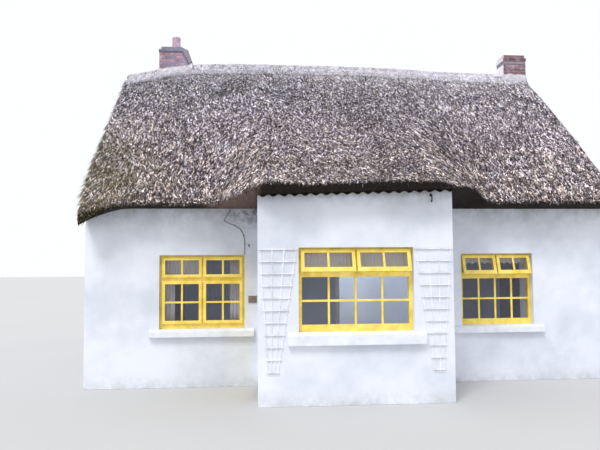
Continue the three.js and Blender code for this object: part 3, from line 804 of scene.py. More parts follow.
@dataclass
class Batch:
    """Closed shapes gathered into one mesh."""

    vertices: list[Vector] = field(default_factory=list)
    faces: list[Face] = field(default_factory=list)

    def add(self, vertices: Iterable[Sequence[float]], faces: Iterable[Face], turn: Matrix | None = None) -> None:
        """Adds a shape.

        Args:
            vertices: its points.
            faces: its faces, as numbers of its own points.
            turn: the matrix that moves it, if any.
        """
        start = len(self.vertices)
        self.vertices += [turn @ Vector(v) if turn else Vector(v) for v in vertices]
        self.faces += [tuple(start + i for i in face) for face in faces]

    def box(self, low: Sequence[float], high: Sequence[float], turn: Matrix | None = None) -> None:
        """Adds a box.

        Args:
            low: its corner with the least x, y and z.
            high: the opposite corner.
            turn: the matrix that moves it, if any.
        """
        corners = [(x, y, z) for x in (low[0], high[0]) for y in (low[1], high[1]) for z in (low[2], high[2])]
        faces = [(0, 1, 3, 2), (4, 6, 7, 5), (0, 4, 5, 1), (2, 3, 7, 6), (0, 2, 6, 4), (1, 5, 7, 3)]
        self.add(corners, faces, turn)

    def prism(self, profile: Sequence[tuple[float, float]], half: float) -> None:
        """Adds a block with a profile in x and z, that reaches half its depth to each side of y = 0."""
        points = [(x, y, z) for y in (-half, half) for x, z in profile]
        self.add(points, lattice(2, len(profile)))

    def tube(self, path: Sequence[Sequence[float]], radius: float, sides: int = 8) -> None:
        """Adds a round bar.

        Args:
            path: the points that it runs through.
            radius: half its thickness.
            sides: how many faces run round it.
        """
        points = [Vector(p) for p in path]
        rings: list[Vector] = []
        side = None
        for i, point in enumerate(points):
            along = (points[min(i + 1, len(points) - 1)] - points[max(i - 1, 0)]).normalized()
            side = (side or along.orthogonal()) - along * along.dot(side or along.orthogonal())
            side.normalize()
            across = along.cross(side)
            rings += [point + radius * (math.cos(a) * side + math.sin(a) * across) for a in round_angles(sides)]
        self.add(rings, lattice(len(points), sides))

    def build(self, name: str, material: bpy.types.Material, ease: float = 0, smooth: bool = False) -> bpy.types.Object:
        """Makes the piece.

        Args:
            name: its name.
            material: its finish.
            ease: how far its edges are eased, in metres.
            smooth: whether light runs softly over its edges.

        Returns:
            The piece.
        """
        bm = bmesh.new()
        held = [bm.verts.new(v) for v in self.vertices]
        for face in self.faces:
            bm.faces.new([held[i] for i in face])
        bmesh.ops.recalc_face_normals(bm, faces=bm.faces)
        if ease:
            eased(bm, ease)
        return new_object(name, finished(bm, bpy.data.meshes.new(name)), material, smooth)


def round_angles(sides: int) -> list[float]:
    """Even steps round a circle, in radians."""
    return [2 * math.pi * k / sides for k in range(sides)]


# Geometry Nodes


class Weave(NodeTree):
    """A Geometry Nodes tree that is being built."""

    def __init__(self, name: str, **inputs: str) -> None:
        """Starts a tree.

        Args:
            name: the tree's name.
            inputs: each input's name, with underscores for its spaces, and its kind of socket.
        """
        super().__init__(bpy.data.node_groups.new(name, "GeometryNodeTree"))
        self.keys: dict[str, str] = {}
        for way in ("INPUT", "OUTPUT"):
            self.tree.interface.new_socket("Geometry", in_out=way, socket_type="NodeSocketGeometry")
        for key, kind in inputs.items():
            made = self.tree.interface.new_socket(key.replace("_", " "), in_out="INPUT",
                                                  socket_type=f"NodeSocket{kind}")
            self.keys[key] = made.identifier
        self.given = self.node("NodeGroupInput").outputs
        self.result = self.node("NodeGroupOutput")

    def out(self, node: bpy.types.Node, name: str) -> Socket:
        """A node's output in use with this name."""
        return next(s for s in node.outputs if s.name == name and s.enabled)

    def named(self, name: str, kind: str = "FLOAT") -> Socket:
        """A mesh attribute."""
        return self.out(self.fill(self.node("GeometryNodeInputNamedAttribute", data_type=kind), Name=name), "Attribute")

    def chance(self, low: object, high: object, seed: object, kind: str = "FLOAT") -> Socket:
        """A random value between two ends."""
        made = self.node("FunctionNodeRandomValue", data_type=kind)
        return self.out(self.fill(made, Min=low, Max=high, Seed=seed), "Value")

    def vector(self, operation: str, first: object, second: object = None, scale: object = None) -> Socket:
        """Adds one sum on vectors.

        Args:
            operation: the kind of sum.
            first: its first vector.
            second: its second vector, if it has one.
            scale: its factor, if it has one.

        Returns:
            The result's socket.
        """
        made = self.node("ShaderNodeVectorMath", operation=operation)
        used = [s for s in made.inputs if s.enabled]
        for socket, value in zip(used, [v for v in (first, second, scale) if v is not None]):
            self.feed(socket, value)
        return made.outputs[0]

    def finish(self, instances: Socket) -> None:
        """Ends the tree: the instances are made real and take the finish.

        Args:
            instances: what the tree has laid.
        """
        real = self.fill(self.node("GeometryNodeRealizeInstances"), Geometry=instances)
        dressed = self.fill(self.node("GeometryNodeSetMaterial"), Geometry=real.outputs[0],
                            Material=self.given["Finish"])
        self.fill(self.result, Geometry=dressed.outputs[0])

    def grow(self, source: bpy.types.Object, name: str, **values: object) -> bpy.types.Object:
        """Runs the tree on an object and keeps the result as a plain mesh.

        Args:
            source: the object that the tree reads.
            name: the new piece's name.
            values: the tree's inputs by name.

        Returns:
            The new piece, with no modifier on it.
        """
        modifier = source.modifiers.new(self.tree.name, "NODES")
        modifier.node_group = self.tree
        for key, value in values.items():
            modifier[self.keys[key]] = value
        source.update_tag()
        seen = source.evaluated_get(bpy.context.evaluated_depsgraph_get())
        mesh = bpy.data.meshes.new_from_object(seen)
        source.modifiers.remove(modifier)
        return new_object(name, mesh, values["Finish"])


def stalk_tree() -> Weave:
    """Builds the tree that lays tapered stalks down a slope, following the attributes cover, lay and trim.

    Returns:
        The tree.
    """
    w = Weave("straw_stalks", Density="Float", Stalk_Length="Float", Stalk_Radius="Float", Scatter="Float",
              Lift="Float", Seed="Int", Finish="Material")
    given = w.given
    spread = w.node("GeometryNodeDistributePointsOnFaces")
    w.fill(spread, Mesh=given["Geometry"], Density=w.times(given["Density"], w.named("cover")), Seed=given["Seed"])
    tinted = w.fill(w.node("GeometryNodeStoreNamedAttribute", data_type="FLOAT", domain="POINT"),
                    Geometry=spread.outputs["Points"], Name="tint", Value=w.chance(0.0, 1.0, 11))
    lay = w.named("lay", "FLOAT_VECTOR")
    across = w.vector("CROSS_PRODUCT", spread.outputs["Normal"], lay)
    swing = w.vector("SCALE", across, scale=w.times(w.chance(-1.0, 1.0, 23), given["Scatter"]))
    raised = w.vector("SCALE", spread.outputs["Normal"], scale=w.times(w.chance(0.0, 1.0, 29), given["Lift"]))
    heading = w.vector("ADD", w.vector("ADD", lay, swing), raised)
    aim = w.fill(w.node("FunctionNodeAlignRotationToVector", axis="Z"), Vector=heading)
    stalk = w.fill(w.node("GeometryNodeMeshCone"), Vertices=3, Radius_Bottom=given["Stalk Radius"],
                   Radius_Top=0.0, Depth=given["Stalk Length"])
    length = w.times(w.chance(0.45, 1.5, 31), w.named("trim"))
    size = w.node("ShaderNodeCombineXYZ")
    width = w.chance(0.5, 1.4, 37)
    w.fill(size, X=width, Y=width, Z=length)
    laid = w.fill(w.node("GeometryNodeInstanceOnPoints"), Points=tinted.outputs[0], Instance=stalk.outputs["Mesh"],
                  Rotation=aim.outputs[0], Scale=size.outputs[0])
    w.finish(laid.outputs[0])
    return w


def brick_tree() -> Weave:
    """Builds the tree that sets a brick on each point, following the attributes turn, size and tint.

    Returns:
        The tree.
    """
    w = Weave("brickwork", Brick="Object", Wobble="Float", Seed="Int", Finish="Material")
    given = w.given
    brick = w.fill(w.node("GeometryNodeObjectInfo"), Object=given["Brick"])
    turn = w.node("ShaderNodeCombineXYZ")
    w.fill(turn, Z=w.named("turn"))
    wobble = w.vector("SCALE", w.chance((-1, -1, -1), (1, 1, 1), given["Seed"], "FLOAT_VECTOR"), scale=given["Wobble"])
    laid = w.fill(w.node("GeometryNodeInstanceOnPoints"), Points=given["Geometry"], Instance=w.out(brick, "Geometry"),
                  Rotation=w.vector("ADD", turn.outputs[0], wobble), Scale=w.named("size", "FLOAT_VECTOR"))
    w.finish(laid.outputs[0])
    return w


# Straw roof


class Slope(Enum):
    """The two sides of the roof, as the sign of y."""

    FRONT = -1
    BACK = 1


def stalk_density(full: float) -> float:
    """How many stalks lie on a square metre."""
    return full * 1.0


@dataclass
class Gap:
    """A place in plan where a stack comes through the straw."""

    x0: float
    x1: float
    half: float  # how far it reaches to each side of the ridge

    def holds(self, x: float, y: float) -> bool:
        """Whether a place in plan is in the gap."""
        return self.x0 <= x <= self.x1 and abs(y) <= self.half


@dataclass
class StrawCoat:
    """One side of the roof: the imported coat, remade finely over its solid, and the stalks that lie on it."""

    node: str
    slope: Slope
    gaps: list[Gap]
    columns: int = 250  # stations along the house
    rows: int = 110  # rows from the lip up to the ridge
    nose: float = 0.022  # how far the lip bulges
    nose_rows: tuple[float, ...] = (0.2, 0.5, 0.8)  # shares of the lip's height
    sink: float = 0.013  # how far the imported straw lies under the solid's face
    rough_broad: float = 0.018  # height of its broad waves
    rough_fine: float = 0.009  # height of its fine waves
    density: float = 1000.0  # stalks on a square metre, in each layer
    layers: int = 2
    stalk_length: float = 0.14
    stalk_radius: float = 0.0088
    scatter: float = 0.8  # how far stalks turn aside
    lift: float = 0.17  # how far they stand up
    stray_density: float = 7.0
    stray_length: float = 0.45
    stray_radius: float = 0.006
    swirl: float = 0.9  # how far, in radians, broad swirls turn the stalks
    lean: float = 1.4  # how strongly they follow a fall along the house
    seed: int = 3

    def __post_init__(self) -> None:
        """Prepares the solid for measuring."""
        mesh = frame["nodes"][self.node].data
        self.tree = BVHTree.FromPolygons([v.co[:] for v in mesh.vertices], [p.vertices[:] for p in mesh.polygons])
        low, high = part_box(self.node)
        self.x0, self.x1 = low.x + INSET, high.x - INSET
        self.reach = max(abs(low.y), abs(high.y))

    def top(self, x: float, y: float) -> float:
        """Height of the solid's upper face, or nan where there is none."""
        hit = self.tree.ray_cast(Vector((x, y, 9)), Vector((0, 0, -1)))[0]
        return hit.z if hit else math.nan

    def under(self, x: float, y: float) -> float:
        """Height of the solid's lower face, or nan where there is none."""
        hit = self.tree.ray_cast(Vector((x, y, 0)), Vector((0, 0, 1)))[0]
        return hit.z if hit else math.nan

    def lip(self, x: float) -> float:
        """Finds the lip.

        Args:
            x: a place along the house.

        Returns:
            How far from the ridge the lip is there.
        """
        step = 0.02
        far = self.reach + 0.01
        while far > 3.0 and math.isnan(self.top(x, self.slope.value * far)):
            far -= step
        near, out = far, far + step
        for _ in range(10):
            middle = (near + out) / 2
            if math.isnan(self.top(x, self.slope.value * middle)):
                out = middle
            else:
                near = middle
        return near - INSET

    def stations(self) -> list[float]:
        """Chooses places along the house, with a close pair at each jump of the underside.

        Returns:
            The places in order.
        """
        even = list(np.linspace(self.x0, self.x1, self.columns))
        if self.slope is Slope.FRONT:
            low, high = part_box("bay_sheet")
            even += [low.x - 1e-3 - INSET, low.x - INSET, high.x + INSET, high.x + 1e-3 + INSET]
        return sorted(even)

    def feet(self, x: float, lip: float) -> list[float]:
        """Chooses where the underside is measured, from the ridge out to the lip.

        Args:
            x: a place along the house.
            lip: how far the lip is.

        Returns:
            Distances from the ridge.
        """
        sheet_low, sheet_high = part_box("bay_sheet")
        over = self.slope is Slope.FRONT and sheet_low.x - 5e-4 <= x <= sheet_high.x + 5e-4
        foot = -sheet_low.y if over else -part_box("front_wall_left")[0].y
        return [CREST_GAP, *np.linspace(0.3, foot - 0.01, 12), foot - 4e-4, foot + 7e-4, lip]

    def ruffle(self, x: float, run: float) -> float:
        """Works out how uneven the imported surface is.

        Args:
            x: a place along the house.
            run: the distance from the ridge.

        Returns:
            How far the surface stands up or down there.
        """
        broad = noise.noise(Vector((x * 0.8, run * 0.7, 3.0 * self.slope.value)))
        middle = noise.noise(Vector((x * 3.6, run * 1.7, 7.0)))
        fine = noise.noise(Vector((x * 19.0, run * 6.0, 1.0)))
        return self.rough_broad * (broad + 0.45 * middle) + self.rough_fine * fine

    def fall_lines(self, tops: np.ndarray, runs: np.ndarray, places: np.ndarray) -> np.ndarray:
        """The way that stalks lie at each place: down the fall of the surface, stirred in broad swirls.

        Args:
            tops: heights, by station and row.
            runs: distances from the ridge, by station and row.
            places: the stations along the house.

        Returns:
            A unit vector in the surface for each station and row.
        """
        side = self.slope.value
        out = np.gradient(tops, axis=1) / np.gradient(runs, axis=1)
        along = np.gradient(tops, places, axis=0) - out * np.gradient(runs, places, axis=0)
        swirl = np.array([[self.swirl * (noise.noise(Vector((x * 0.9, r * 0.9, 11))) + 0.8 * noise.noise(
            Vector((x * 2.8, r * 2.8, 17)))) for r in row] for x, row in zip(places, runs)])
        across, down = -self.lean * along, -side * out
        turned = across * np.cos(swirl) - down * np.sin(swirl), across * np.sin(swirl) + down * np.cos(swirl)
        falls = np.stack([*turned, turned[0] * along + turned[1] * side * out], axis=2)
        return falls / np.linalg.norm(falls, axis=2, keepdims=True)

    def build(self, bed: bpy.types.Material) -> bpy.types.Object:
        """Makes the coat as one closed mesh, with the attributes that the stalks follow.

        Args:
            bed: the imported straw's finish.

        Returns:
            The coat.
        """
        side = self.slope.value
        self.places = np.array(self.stations())
        lips = np.array([self.lip(x) for x in self.places])
        share = np.linspace(0, 1, self.rows) ** 1.05
        self.runs = runs = lips[:, None] * (1 - share) + CREST_GAP * share
        self.tops = tops = self.measured_tops()
        falls = self.fall_lines(tops, runs, self.places)
        rings, marks = [], []
        for i, x in enumerate(self.places):
            edge = noise.noise(Vector((x * 7, 0, 5.0))) * 0.012 + noise.noise(Vector((x * 31, 0, 8.0))) * 0.007
            points = []
            for k, run in enumerate(runs[i]):
                ease = min(1.0, k / 4)
                z = tops[i, k] + (self.ruffle(x, run) - self.sink) * ease
                points.append((x, side * (run + edge * (1 - ease)), z))
                inland = min(lips[i] - run, x - self.x0, self.x1 - x) > 1.5 * self.stray_length
                marks.append((1.0, 0.45 + 0.55 * min(1.0, k / 6), 1.0, float(inland), *falls[i, k]))
            for d in self.feet(x, lips[i]):
                points.append((x, side * d, self.under(x, side * d)))
                # The top mark is 0 under the coat, where the bed's finish paints shade.
                marks.append((0.0, 0.35, 0.0, 0.0, 0.0, side * 0.3, -1.0))
            low, high = points[-1][2], points[0][2]
            for t in self.nose_rows:
                out = self.nose * math.sin(math.pi * t) ** 0.6 + edge
                points.append((x, side * (lips[i] + out), low + (high - low) * t))
                # The top mark falls along the lip, where both straw finishes paint shade.
                marks.append((0.35 * t, 0.24, 0.8, 0.0, 0.0, side * 0.8, -0.6))
            rings.append(points)
        top, trim, cover, inland = np.array(marks)[:, :4].T
        mesh = ringed(self.node, rings, top=top, trim=trim, cover=cover, inland=inland, lay=np.array(marks)[:, 4:])
        piece = new_object(f"{self.node}_coat", mesh, bed, smooth=True)
        settle(piece, "straw", self.node)
        return piece

    def measured_tops(self) -> np.ndarray:
        """Measures the solid, and carries its heights over the gaps from either side of them.

        Returns:
            Heights by station and row.
        """
        side = self.slope.value
        tops = np.array([[math.nan if any(g.holds(x, side * r) for g in self.gaps) else self.top(x, side * r)
                          for r in row] for x, row in zip(self.places, self.runs)])
        for column in tops.T:
            bad = np.isnan(column)
            if bad.any():
                column[bad] = np.interp(self.places[bad], self.places[~bad], column[~bad])
        return tops

    def height(self, x: float, y: float) -> float:
        """Finds the built coat's surface.

        Args:
            x: the place along the house.
            y: the place across it.

        Returns:
            Its height there.
        """
        i = int(np.clip(np.searchsorted(self.places, x), 1, len(self.places) - 1))
        if abs(self.places[i - 1] - x) < abs(self.places[i] - x):
            i -= 1
        return float(np.interp(-abs(y), -self.runs[i], self.tops[i]))

    def grow(self, coat: bpy.types.Object, tree: Weave, finish: bpy.types.Material) -> None:
        """Lays the stalks on the coat, and some long strays away from its edges.

        Args:
            coat: the built coat.
            tree: the tree that lays stalks.
            finish: the stalks' finish.
        """
        for layer in range(self.layers):
            stalks = tree.grow(coat, f"{self.node}_stalks_{layer}", Density=stalk_density(self.density),
                               Stalk_Length=self.stalk_length, Stalk_Radius=self.stalk_radius, Scatter=self.scatter,
                               Lift=self.lift, Seed=self.seed + layer, Finish=finish)
            settle(stalks, "straw")
        marks = coat.data.attributes
        marks.remove(marks["cover"])
        marks["inland"].name = "cover"
        strays = tree.grow(coat, f"{self.node}_strays", Density=self.stray_density, Stalk_Length=self.stray_length,
                           Stalk_Radius=self.stray_radius, Scatter=0.9, Lift=0.05, Seed=self.seed + 50, Finish=finish)
        settle(strays, "straw")


@dataclass
class RidgeBand:
    """The paler straw dressed over the ridge."""

    front: StrawCoat
    back: StrawCoat
    node: str = "thatch_ridge"
    columns: int = 260  # stations along the house
    rows: int = 26  # rows from lip to lip
    thick: float = 0.05
    proud: float = 0.008  # how far its edges stand out of the coats
    bite: float = 0.06  # how far it reaches down into them
    reach_left: float = 0.27  # how far down each slope it goes
    reach_right: float = 0.25

    def reach(self, x: float, side: int) -> float:
        """Finds the band's ragged edge.

        Args:
            x: the place along the house.
            side: -1 in front and 1 behind.

        Returns:
            How far down its slope the band goes.
        """
        t = min(1.0, max(0.0, (x + 2.6) / 6.0))
        ragged = (0.05 * noise.noise(Vector((x * 1.9, 4.0 * side, 0))) + 0.04 * noise.noise(Vector((x * 7, side, 2)))
                  + 0.03 * noise.noise(Vector((x * 17, side, 6))))
        return self.reach_left + (self.reach_right - self.reach_left) * t + ragged

    def build(self, material: bpy.types.Material) -> bpy.types.Object:
        """Makes the band as one closed mesh.

        Args:
            material: its finish.

        Returns:
            The band.
        """
        low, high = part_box(self.node)
        rings, lays = [], []
        shares = np.linspace(-1, 1, self.rows)
        for x in np.linspace(low.x + INSET, high.x - INSET, self.columns):
            crown = (self.front.height(x, -0.01) + self.back.height(x, 0.01)) / 2
            over, under = [], []
            for t in shares:
                side = -1 if t < 0 else 1
                y = t * self.reach(x, side)
                coat = self.front if side < 0 else self.back
                lump = 0.010 * noise.noise(Vector((x * 6, y * 9, 2))) + 0.005 * noise.noise(Vector((x * 30, y * 20, 5)))
                z = coat.height(x, y) + self.proud + self.thick * (1 - abs(t) ** 1.4) + lump * (1 - abs(t) ** 6)
                z = min(z, crown + self.thick + self.proud - 1.5 * y * y + lump)
                over.append((x, y, z))
                under.append((x, y, min(z, coat.height(x, y)) - self.bite))
                lays.append(Vector((0, side, -0.9)).normalized())
            rings.append(over + under[::-1])
            lays += [Vector((0, 0, -1))] * self.rows
        cover = np.tile(np.r_[0.4 + 1.3 * np.abs(shares) ** 2, np.zeros(self.rows)], len(rings))
        mesh = ringed(self.node, rings, trim=np.full(len(lays), 0.75), top=np.ones(len(lays)), cover=cover, lay=lays)
        piece = new_object(f"{self.node}_band", mesh, material, smooth=True)
        settle(piece, "ridge_straw", self.node)
        return piece


@dataclass
class StrawRoof:
    """The whole straw roof with its timbers and the sheet over the bay."""

    palette: Palette

    def build(self) -> tuple[StrawCoat, StrawCoat]:
        """Builds both coats, the ridge band and their stalks.

        Returns:
            The front and the back coat.
        """
        gaps = [Gap(-3.67, -2.88, 0.22), Gap(3.79, 4.32, 0.2)]
        front = StrawCoat("thatch_front", Slope.FRONT, gaps)
        back = StrawCoat("thatch_back", Slope.BACK, gaps, columns=160, rows=90, density=800.0, seed=8)
        tree = stalk_tree()
        for coat in (front, back):
            coat.grow(coat.build(self.palette.straw_bed), tree, self.palette.stalks)
        band = RidgeBand(front, back).build(self.palette.ridge_bed)
        stalks = tree.grow(band, "thatch_ridge_stalks", Density=stalk_density(1700.0), Stalk_Length=0.13,
                           Stalk_Radius=0.0075, Scatter=0.6, Lift=0.14, Seed=5, Finish=self.palette.ridge_stalks)
        settle(stalks, "ridge_straw")
        dress(["roof_timbers"], self.palette.timber)
        dress(["bay_sheet"], self.palette.sheet)
        return front, back


# Windows


@dataclass
class WindowLook:
    """Sizes of a window and the way its lights are divided. They are those of its solids."""

    name: str
    x0: float
    x1: float
    z0: float
    z1: float
    transom: tuple[float, float]
    face: float
    casements: int = 0  # how many it has below the transom
    tilt: float = 0.0  # radians that its vents stand open
    loose: bool = True  # whether its sashes are solids of their own
    columns: int = 4  # panes across the light below the transom, where it has no casements
    reveal: float = 0.085  # from the wall's face back to the frame
    frame: float = 0.05  # width of the frame's rails
    frame_foot: float = 0.095  # width of its bottom rail
    lap: float = 0.014  # how far a sash laps its frame
    foot_drop: float = 0.031  # how much further an open vent's foot laps
    foot_rail: float = 0.066  # width of an open vent's bottom rail
    rail: float = 0.048  # width of a sash's rails
    sash: float = 0.036  # thickness of a sash
    bar: float = 0.03  # width of a glazing bar
    bar_depth: float = 0.026
    bar_back: float = 0.004  # from a sash's face back to its bars
    fixed_back: float = 0.012  # from a frame's face back to its own bars
    bite: float = 0.004  # how far the bars enter the rails
    pane: float = 0.004  # thickness of a pane
    pane_back: float = 0.014  # from the bars' face back to the panes
    pane_bite: float = 0.003  # how far the panes enter the bars

    def turn(self) -> Matrix:
        """From the window's own frame, whose outer face is y = 0, to the house's."""
        flip = Matrix.Rotation(math.pi, 4, "Z") if self.face > 0 else Matrix.Identity(4)
        return Matrix.Translation((0, self.face, 0)) @ flip

    def hinge(self, light: Sequence[float]) -> Matrix:
        """Finds how an open vent stands out.

        Args:
            light: the vent's x0, x1, z0 and z1.

        Returns:
            The turn about its head.
        """
        back, head = self.reveal - SOLID_GAP, light[3] + self.lap
        there = Matrix.Translation((0, back, head))
        return there @ Matrix.Rotation(-self.tilt, 4, "X") @ there.inverted()

    def row(self, count: int, foot: float, head: float) -> list[tuple[float, float, float, float]]:
        """A row of lights between the transom and the rim."""
        edges = np.linspace(self.x0 + self.frame / 2, self.x1 - self.frame / 2, count + 1)
        return [(a + self.frame / 2, b - self.frame / 2, foot, head) for a, b in zip(edges, edges[1:])]

    def build(self, palette: Palette) -> None:
        """Builds the glazing bars and panes, and dresses the frame, sashes and sill.

        Args:
            palette: the house's materials.
        """
        bars, panes = Batch(), Batch()
        above = self.row(2, self.transom[1], self.z1 - self.frame)
        below = self.row(self.casements or 1, self.z0 + self.frame_foot, self.transom[0])
        for light in above:
            self.glaze(bars, panes, light, 2, 1, self.hinge(light), True)
        for light in below:
            own = bool(self.casements)
            self.glaze(bars, panes, light, 2 if own else self.columns, 2, Matrix.Identity(4), own)
        settle(bars.build(f"{self.name}_bars", palette.yellow, 0.004), "yellow_paint")
        settle(panes.build(f"{self.name}_panes", palette.glass), "glass", f"{self.name}_glass")
        parts = ["frame"]
        if self.loose:
            parts += ["vent_left", "vent_right"] + (["casement_left", "casement_right"] if self.casements else [])
        for part in parts:
            soften(f"{self.name}_{part}", 0.004, palette.yellow, "yellow_paint")
        soften(f"{self.name}_sill", 0.009, palette.sill, "white_sill")

    def glaze(self, bars: Batch, panes: Batch, light: Sequence[float], across: int, up: int, hinge: Matrix,
              sashed: bool) -> None:
        """Fills one light.

        Args:
            bars: where the glazing bars go.
            panes: where the panes go.
            light: the light's x0, x1, z0 and z1.
            across: how many panes it has in a row.
            up: how many rows it has.
            hinge: how its sash stands open.
            sashed: whether the panes are held by a sash, not straight by the frame.
        """
        x0, x1, z0, z1 = light
        if sashed:
            inner = self.rail - self.lap
            foot = self.foot_rail - self.lap - self.foot_drop if self.tilt else inner
            x0, x1, z0, z1 = x0 + inner, x1 - inner, z0 + foot, z1 - inner
            front = (self.reveal if self.loose else self.reveal + 0.002) - self.sash + self.bar_back
        else:
            front = self.reveal + self.fixed_back
            hinge = Matrix.Identity(4)
        turn = self.turn() @ (hinge if self.tilt else Matrix.Identity(4))
        back, bite = front + self.bar_depth, self.bite
        xs, zs = np.linspace(x0, x1, across + 1), np.linspace(z0, z1, up + 1)
        for x in xs[1:-1]:
            bars.box((x - self.bar / 2, front, z0 - bite), (x + self.bar / 2, back, z1 + bite), turn)
        for z in zs[1:-1]:
            bars.box((x0 - bite, front + 0.001, z - self.bar / 2), (x1 + bite, back - 0.001, z + self.bar / 2), turn)
        glass, in_bar = front + self.pane_back, self.pane_bite
        for a, b in zip(xs, xs[1:]):
            for c, d in zip(zs, zs[1:]):
                panes.box((a - in_bar, glass, c - in_bar), (b + in_bar, glass + self.pane, d + in_bar), turn)


@dataclass
class Curtain:
    """A pleated piece of net or cloth that hangs inside a window."""

    window: str
    x0: float
    x1: float
    z0: float
    z1: float
    y: float
    scallop: float = 0.0  # depth of the scallops at its hem
    scallop_width: float = 0.11
    pleat: float = 0.055  # width of a pleat
    depth: float = 0.012  # how far a pleat stands in and out
    thick: float = 0.0008

    def fold(self, x: float) -> float:
        """How far the cloth stands in or out at a place."""
        soft = 0.7 + 0.5 * noise.noise(Vector((x * 3.1, self.z0, 2)))
        return self.depth * soft * math.sin(2 * math.pi * (x - self.x0) / self.pleat)

    def build(self, name: str, material: bpy.types.Material) -> None:
        """Builds the cloth and logs its count of faces.

        Args:
            name: the piece's name.
            material: its finish.
        """
        columns, rows = round((self.x1 - self.x0) / self.pleat * 10), 6
        xs = np.linspace(self.x0, self.x1, columns + 1)
        line = [(x, self.y + self.fold(x)) for x in xs]
        drops = [self.z0 + self.scallop * abs(math.sin(math.pi * (x - self.x0) / self.scallop_width)) for x in xs]
        cloth = Batch(faces=lattice(columns + 1, 2 * (rows + 1)))
        half = self.thick / 2
        for (x, y), low in zip(line, drops):
            heights = [self.z1 + (low - self.z1) * r / rows for r in range(rows + 1)]
            cloth.vertices += [Vector((x, y - half, z)) for z in heights]
            cloth.vertices += [Vector((x, y + half, z)) for z in heights[::-1]]
        piece = cloth.build(name, material, smooth=True)
        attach(piece, ROOT)
        LOG.info("%s: %d faces", name, len(piece.data.polygons))


@dataclass
class Openings:
    """All windows, and the front door in the bay's left side."""

    palette: Palette
    left: tuple[float, ...] = (-3.168, -1.814, 0.915, 2.09)
    right: tuple[float, ...] = (1.751, 2.975, 0.915, 2.09)
    bay: tuple[float, ...] = (-1.046, 0.581, 1.003, 2.178)
    tilt: float = 0.32

    def build(self) -> None:
        """Builds each window with its nets and curtains, and the door."""
        front, rear, out = -3.0, 3.0, -4.372
        low, high, middle = (1.66, 1.746), (1.676, 1.774), (1.764, 1.862)  # the windows' transoms
        # The back windows' solids are the front ones turned twice, so their places in the turned frame are the front's
        for look in (WindowLook("left_window", *self.left, low, front, casements=2),
                     WindowLook("right_window", *self.right, high, front, tilt=self.tilt),
                     WindowLook("bay_window", *self.bay, middle, out, tilt=self.tilt),
                     WindowLook("back_window_left", *self.left, low, rear, casements=2, loose=False),
                     WindowLook("back_window_right", *self.right, high, rear, loose=False)):
            look.build(self.palette)
        inside = 0.2
        behind = front + inside + 0.03
        cloths = {
            "bay_window_net": Curtain("bay_window", -1.0, 0.535, 1.79, 2.13, out + inside),
            "right_window_net": Curtain("right_window", 1.8, 2.926, 1.91, 2.045, front + inside, 0.03),
            "left_window_net": Curtain("left_window", -3.11, -2.53, 1.77, 2.04, front + inside),
            "back_window_right_net": Curtain("back_window_right", -2.93, -1.796, 0.97, 2.04, rear - inside),
            "back_window_left_net": Curtain("back_window_left", 1.859, 3.123, 0.97, 2.04, rear - inside),
            "left_window_curtain_left": Curtain("left_window", -3.12, -2.95, 0.97, 2.04, behind),
            "left_window_curtain_right": Curtain("left_window", -2.06, -1.86, 0.97, 2.04, behind),
        }
        for name, cloth in cloths.items():
            cloth.build(name, self.palette.net)
        self.door()

    def door(self) -> None:
        """Builds the boarded leaf with its knob and hinges, and dresses the frame."""
        low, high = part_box("front_door")
        boards, count = Batch(), 6
        edges = np.linspace(low.y, high.y, count + 1)
        for a, b in zip(edges, edges[1:]):
            boards.box((low.x, a, low.z), (high.x, b, high.z))
        settle(boards.build("front_door_boards", self.palette.yellow, 0.005), "yellow_paint", "front_door")
        iron = Batch()
        for z in (0.45, 1.75):
            iron.box((low.x - 0.006, low.y + 0.01, z - 0.018), (low.x + 0.001, low.y + 0.42, z + 0.018))
        knob_y = high.y - 0.07
        iron.tube([(low.x + 0.002, knob_y, 1.1), (low.x - 0.03, knob_y, 1.1), (low.x - 0.034, knob_y, 1.1)], 0.011, 16)
        iron.tube([(low.x - 0.03 - d, knob_y, 1.1) for d in (0, 0.012, 0.022, 0.026)], 0.026, 20)
        settle(iron.build("front_door_irons", self.palette.iron, 0.002), "yellow_paint")
        soften("door_frame", 0.004, self.palette.yellow, "yellow_paint")


# Chimneys


@dataclass(frozen=True)
class Shaft:
    """Where a stack's brickwork stands above the straw."""

    x0: float
    x1: float
    top: float
    half: float = 0.18


LEFT_SHAFT = Shaft(-3.65, -3.154, 6.516)
RIGHT_SHAFT = Shaft(3.815, 4.312, 6.478)
SHOULDER = 0.131  # how far the left stack's foot stands out


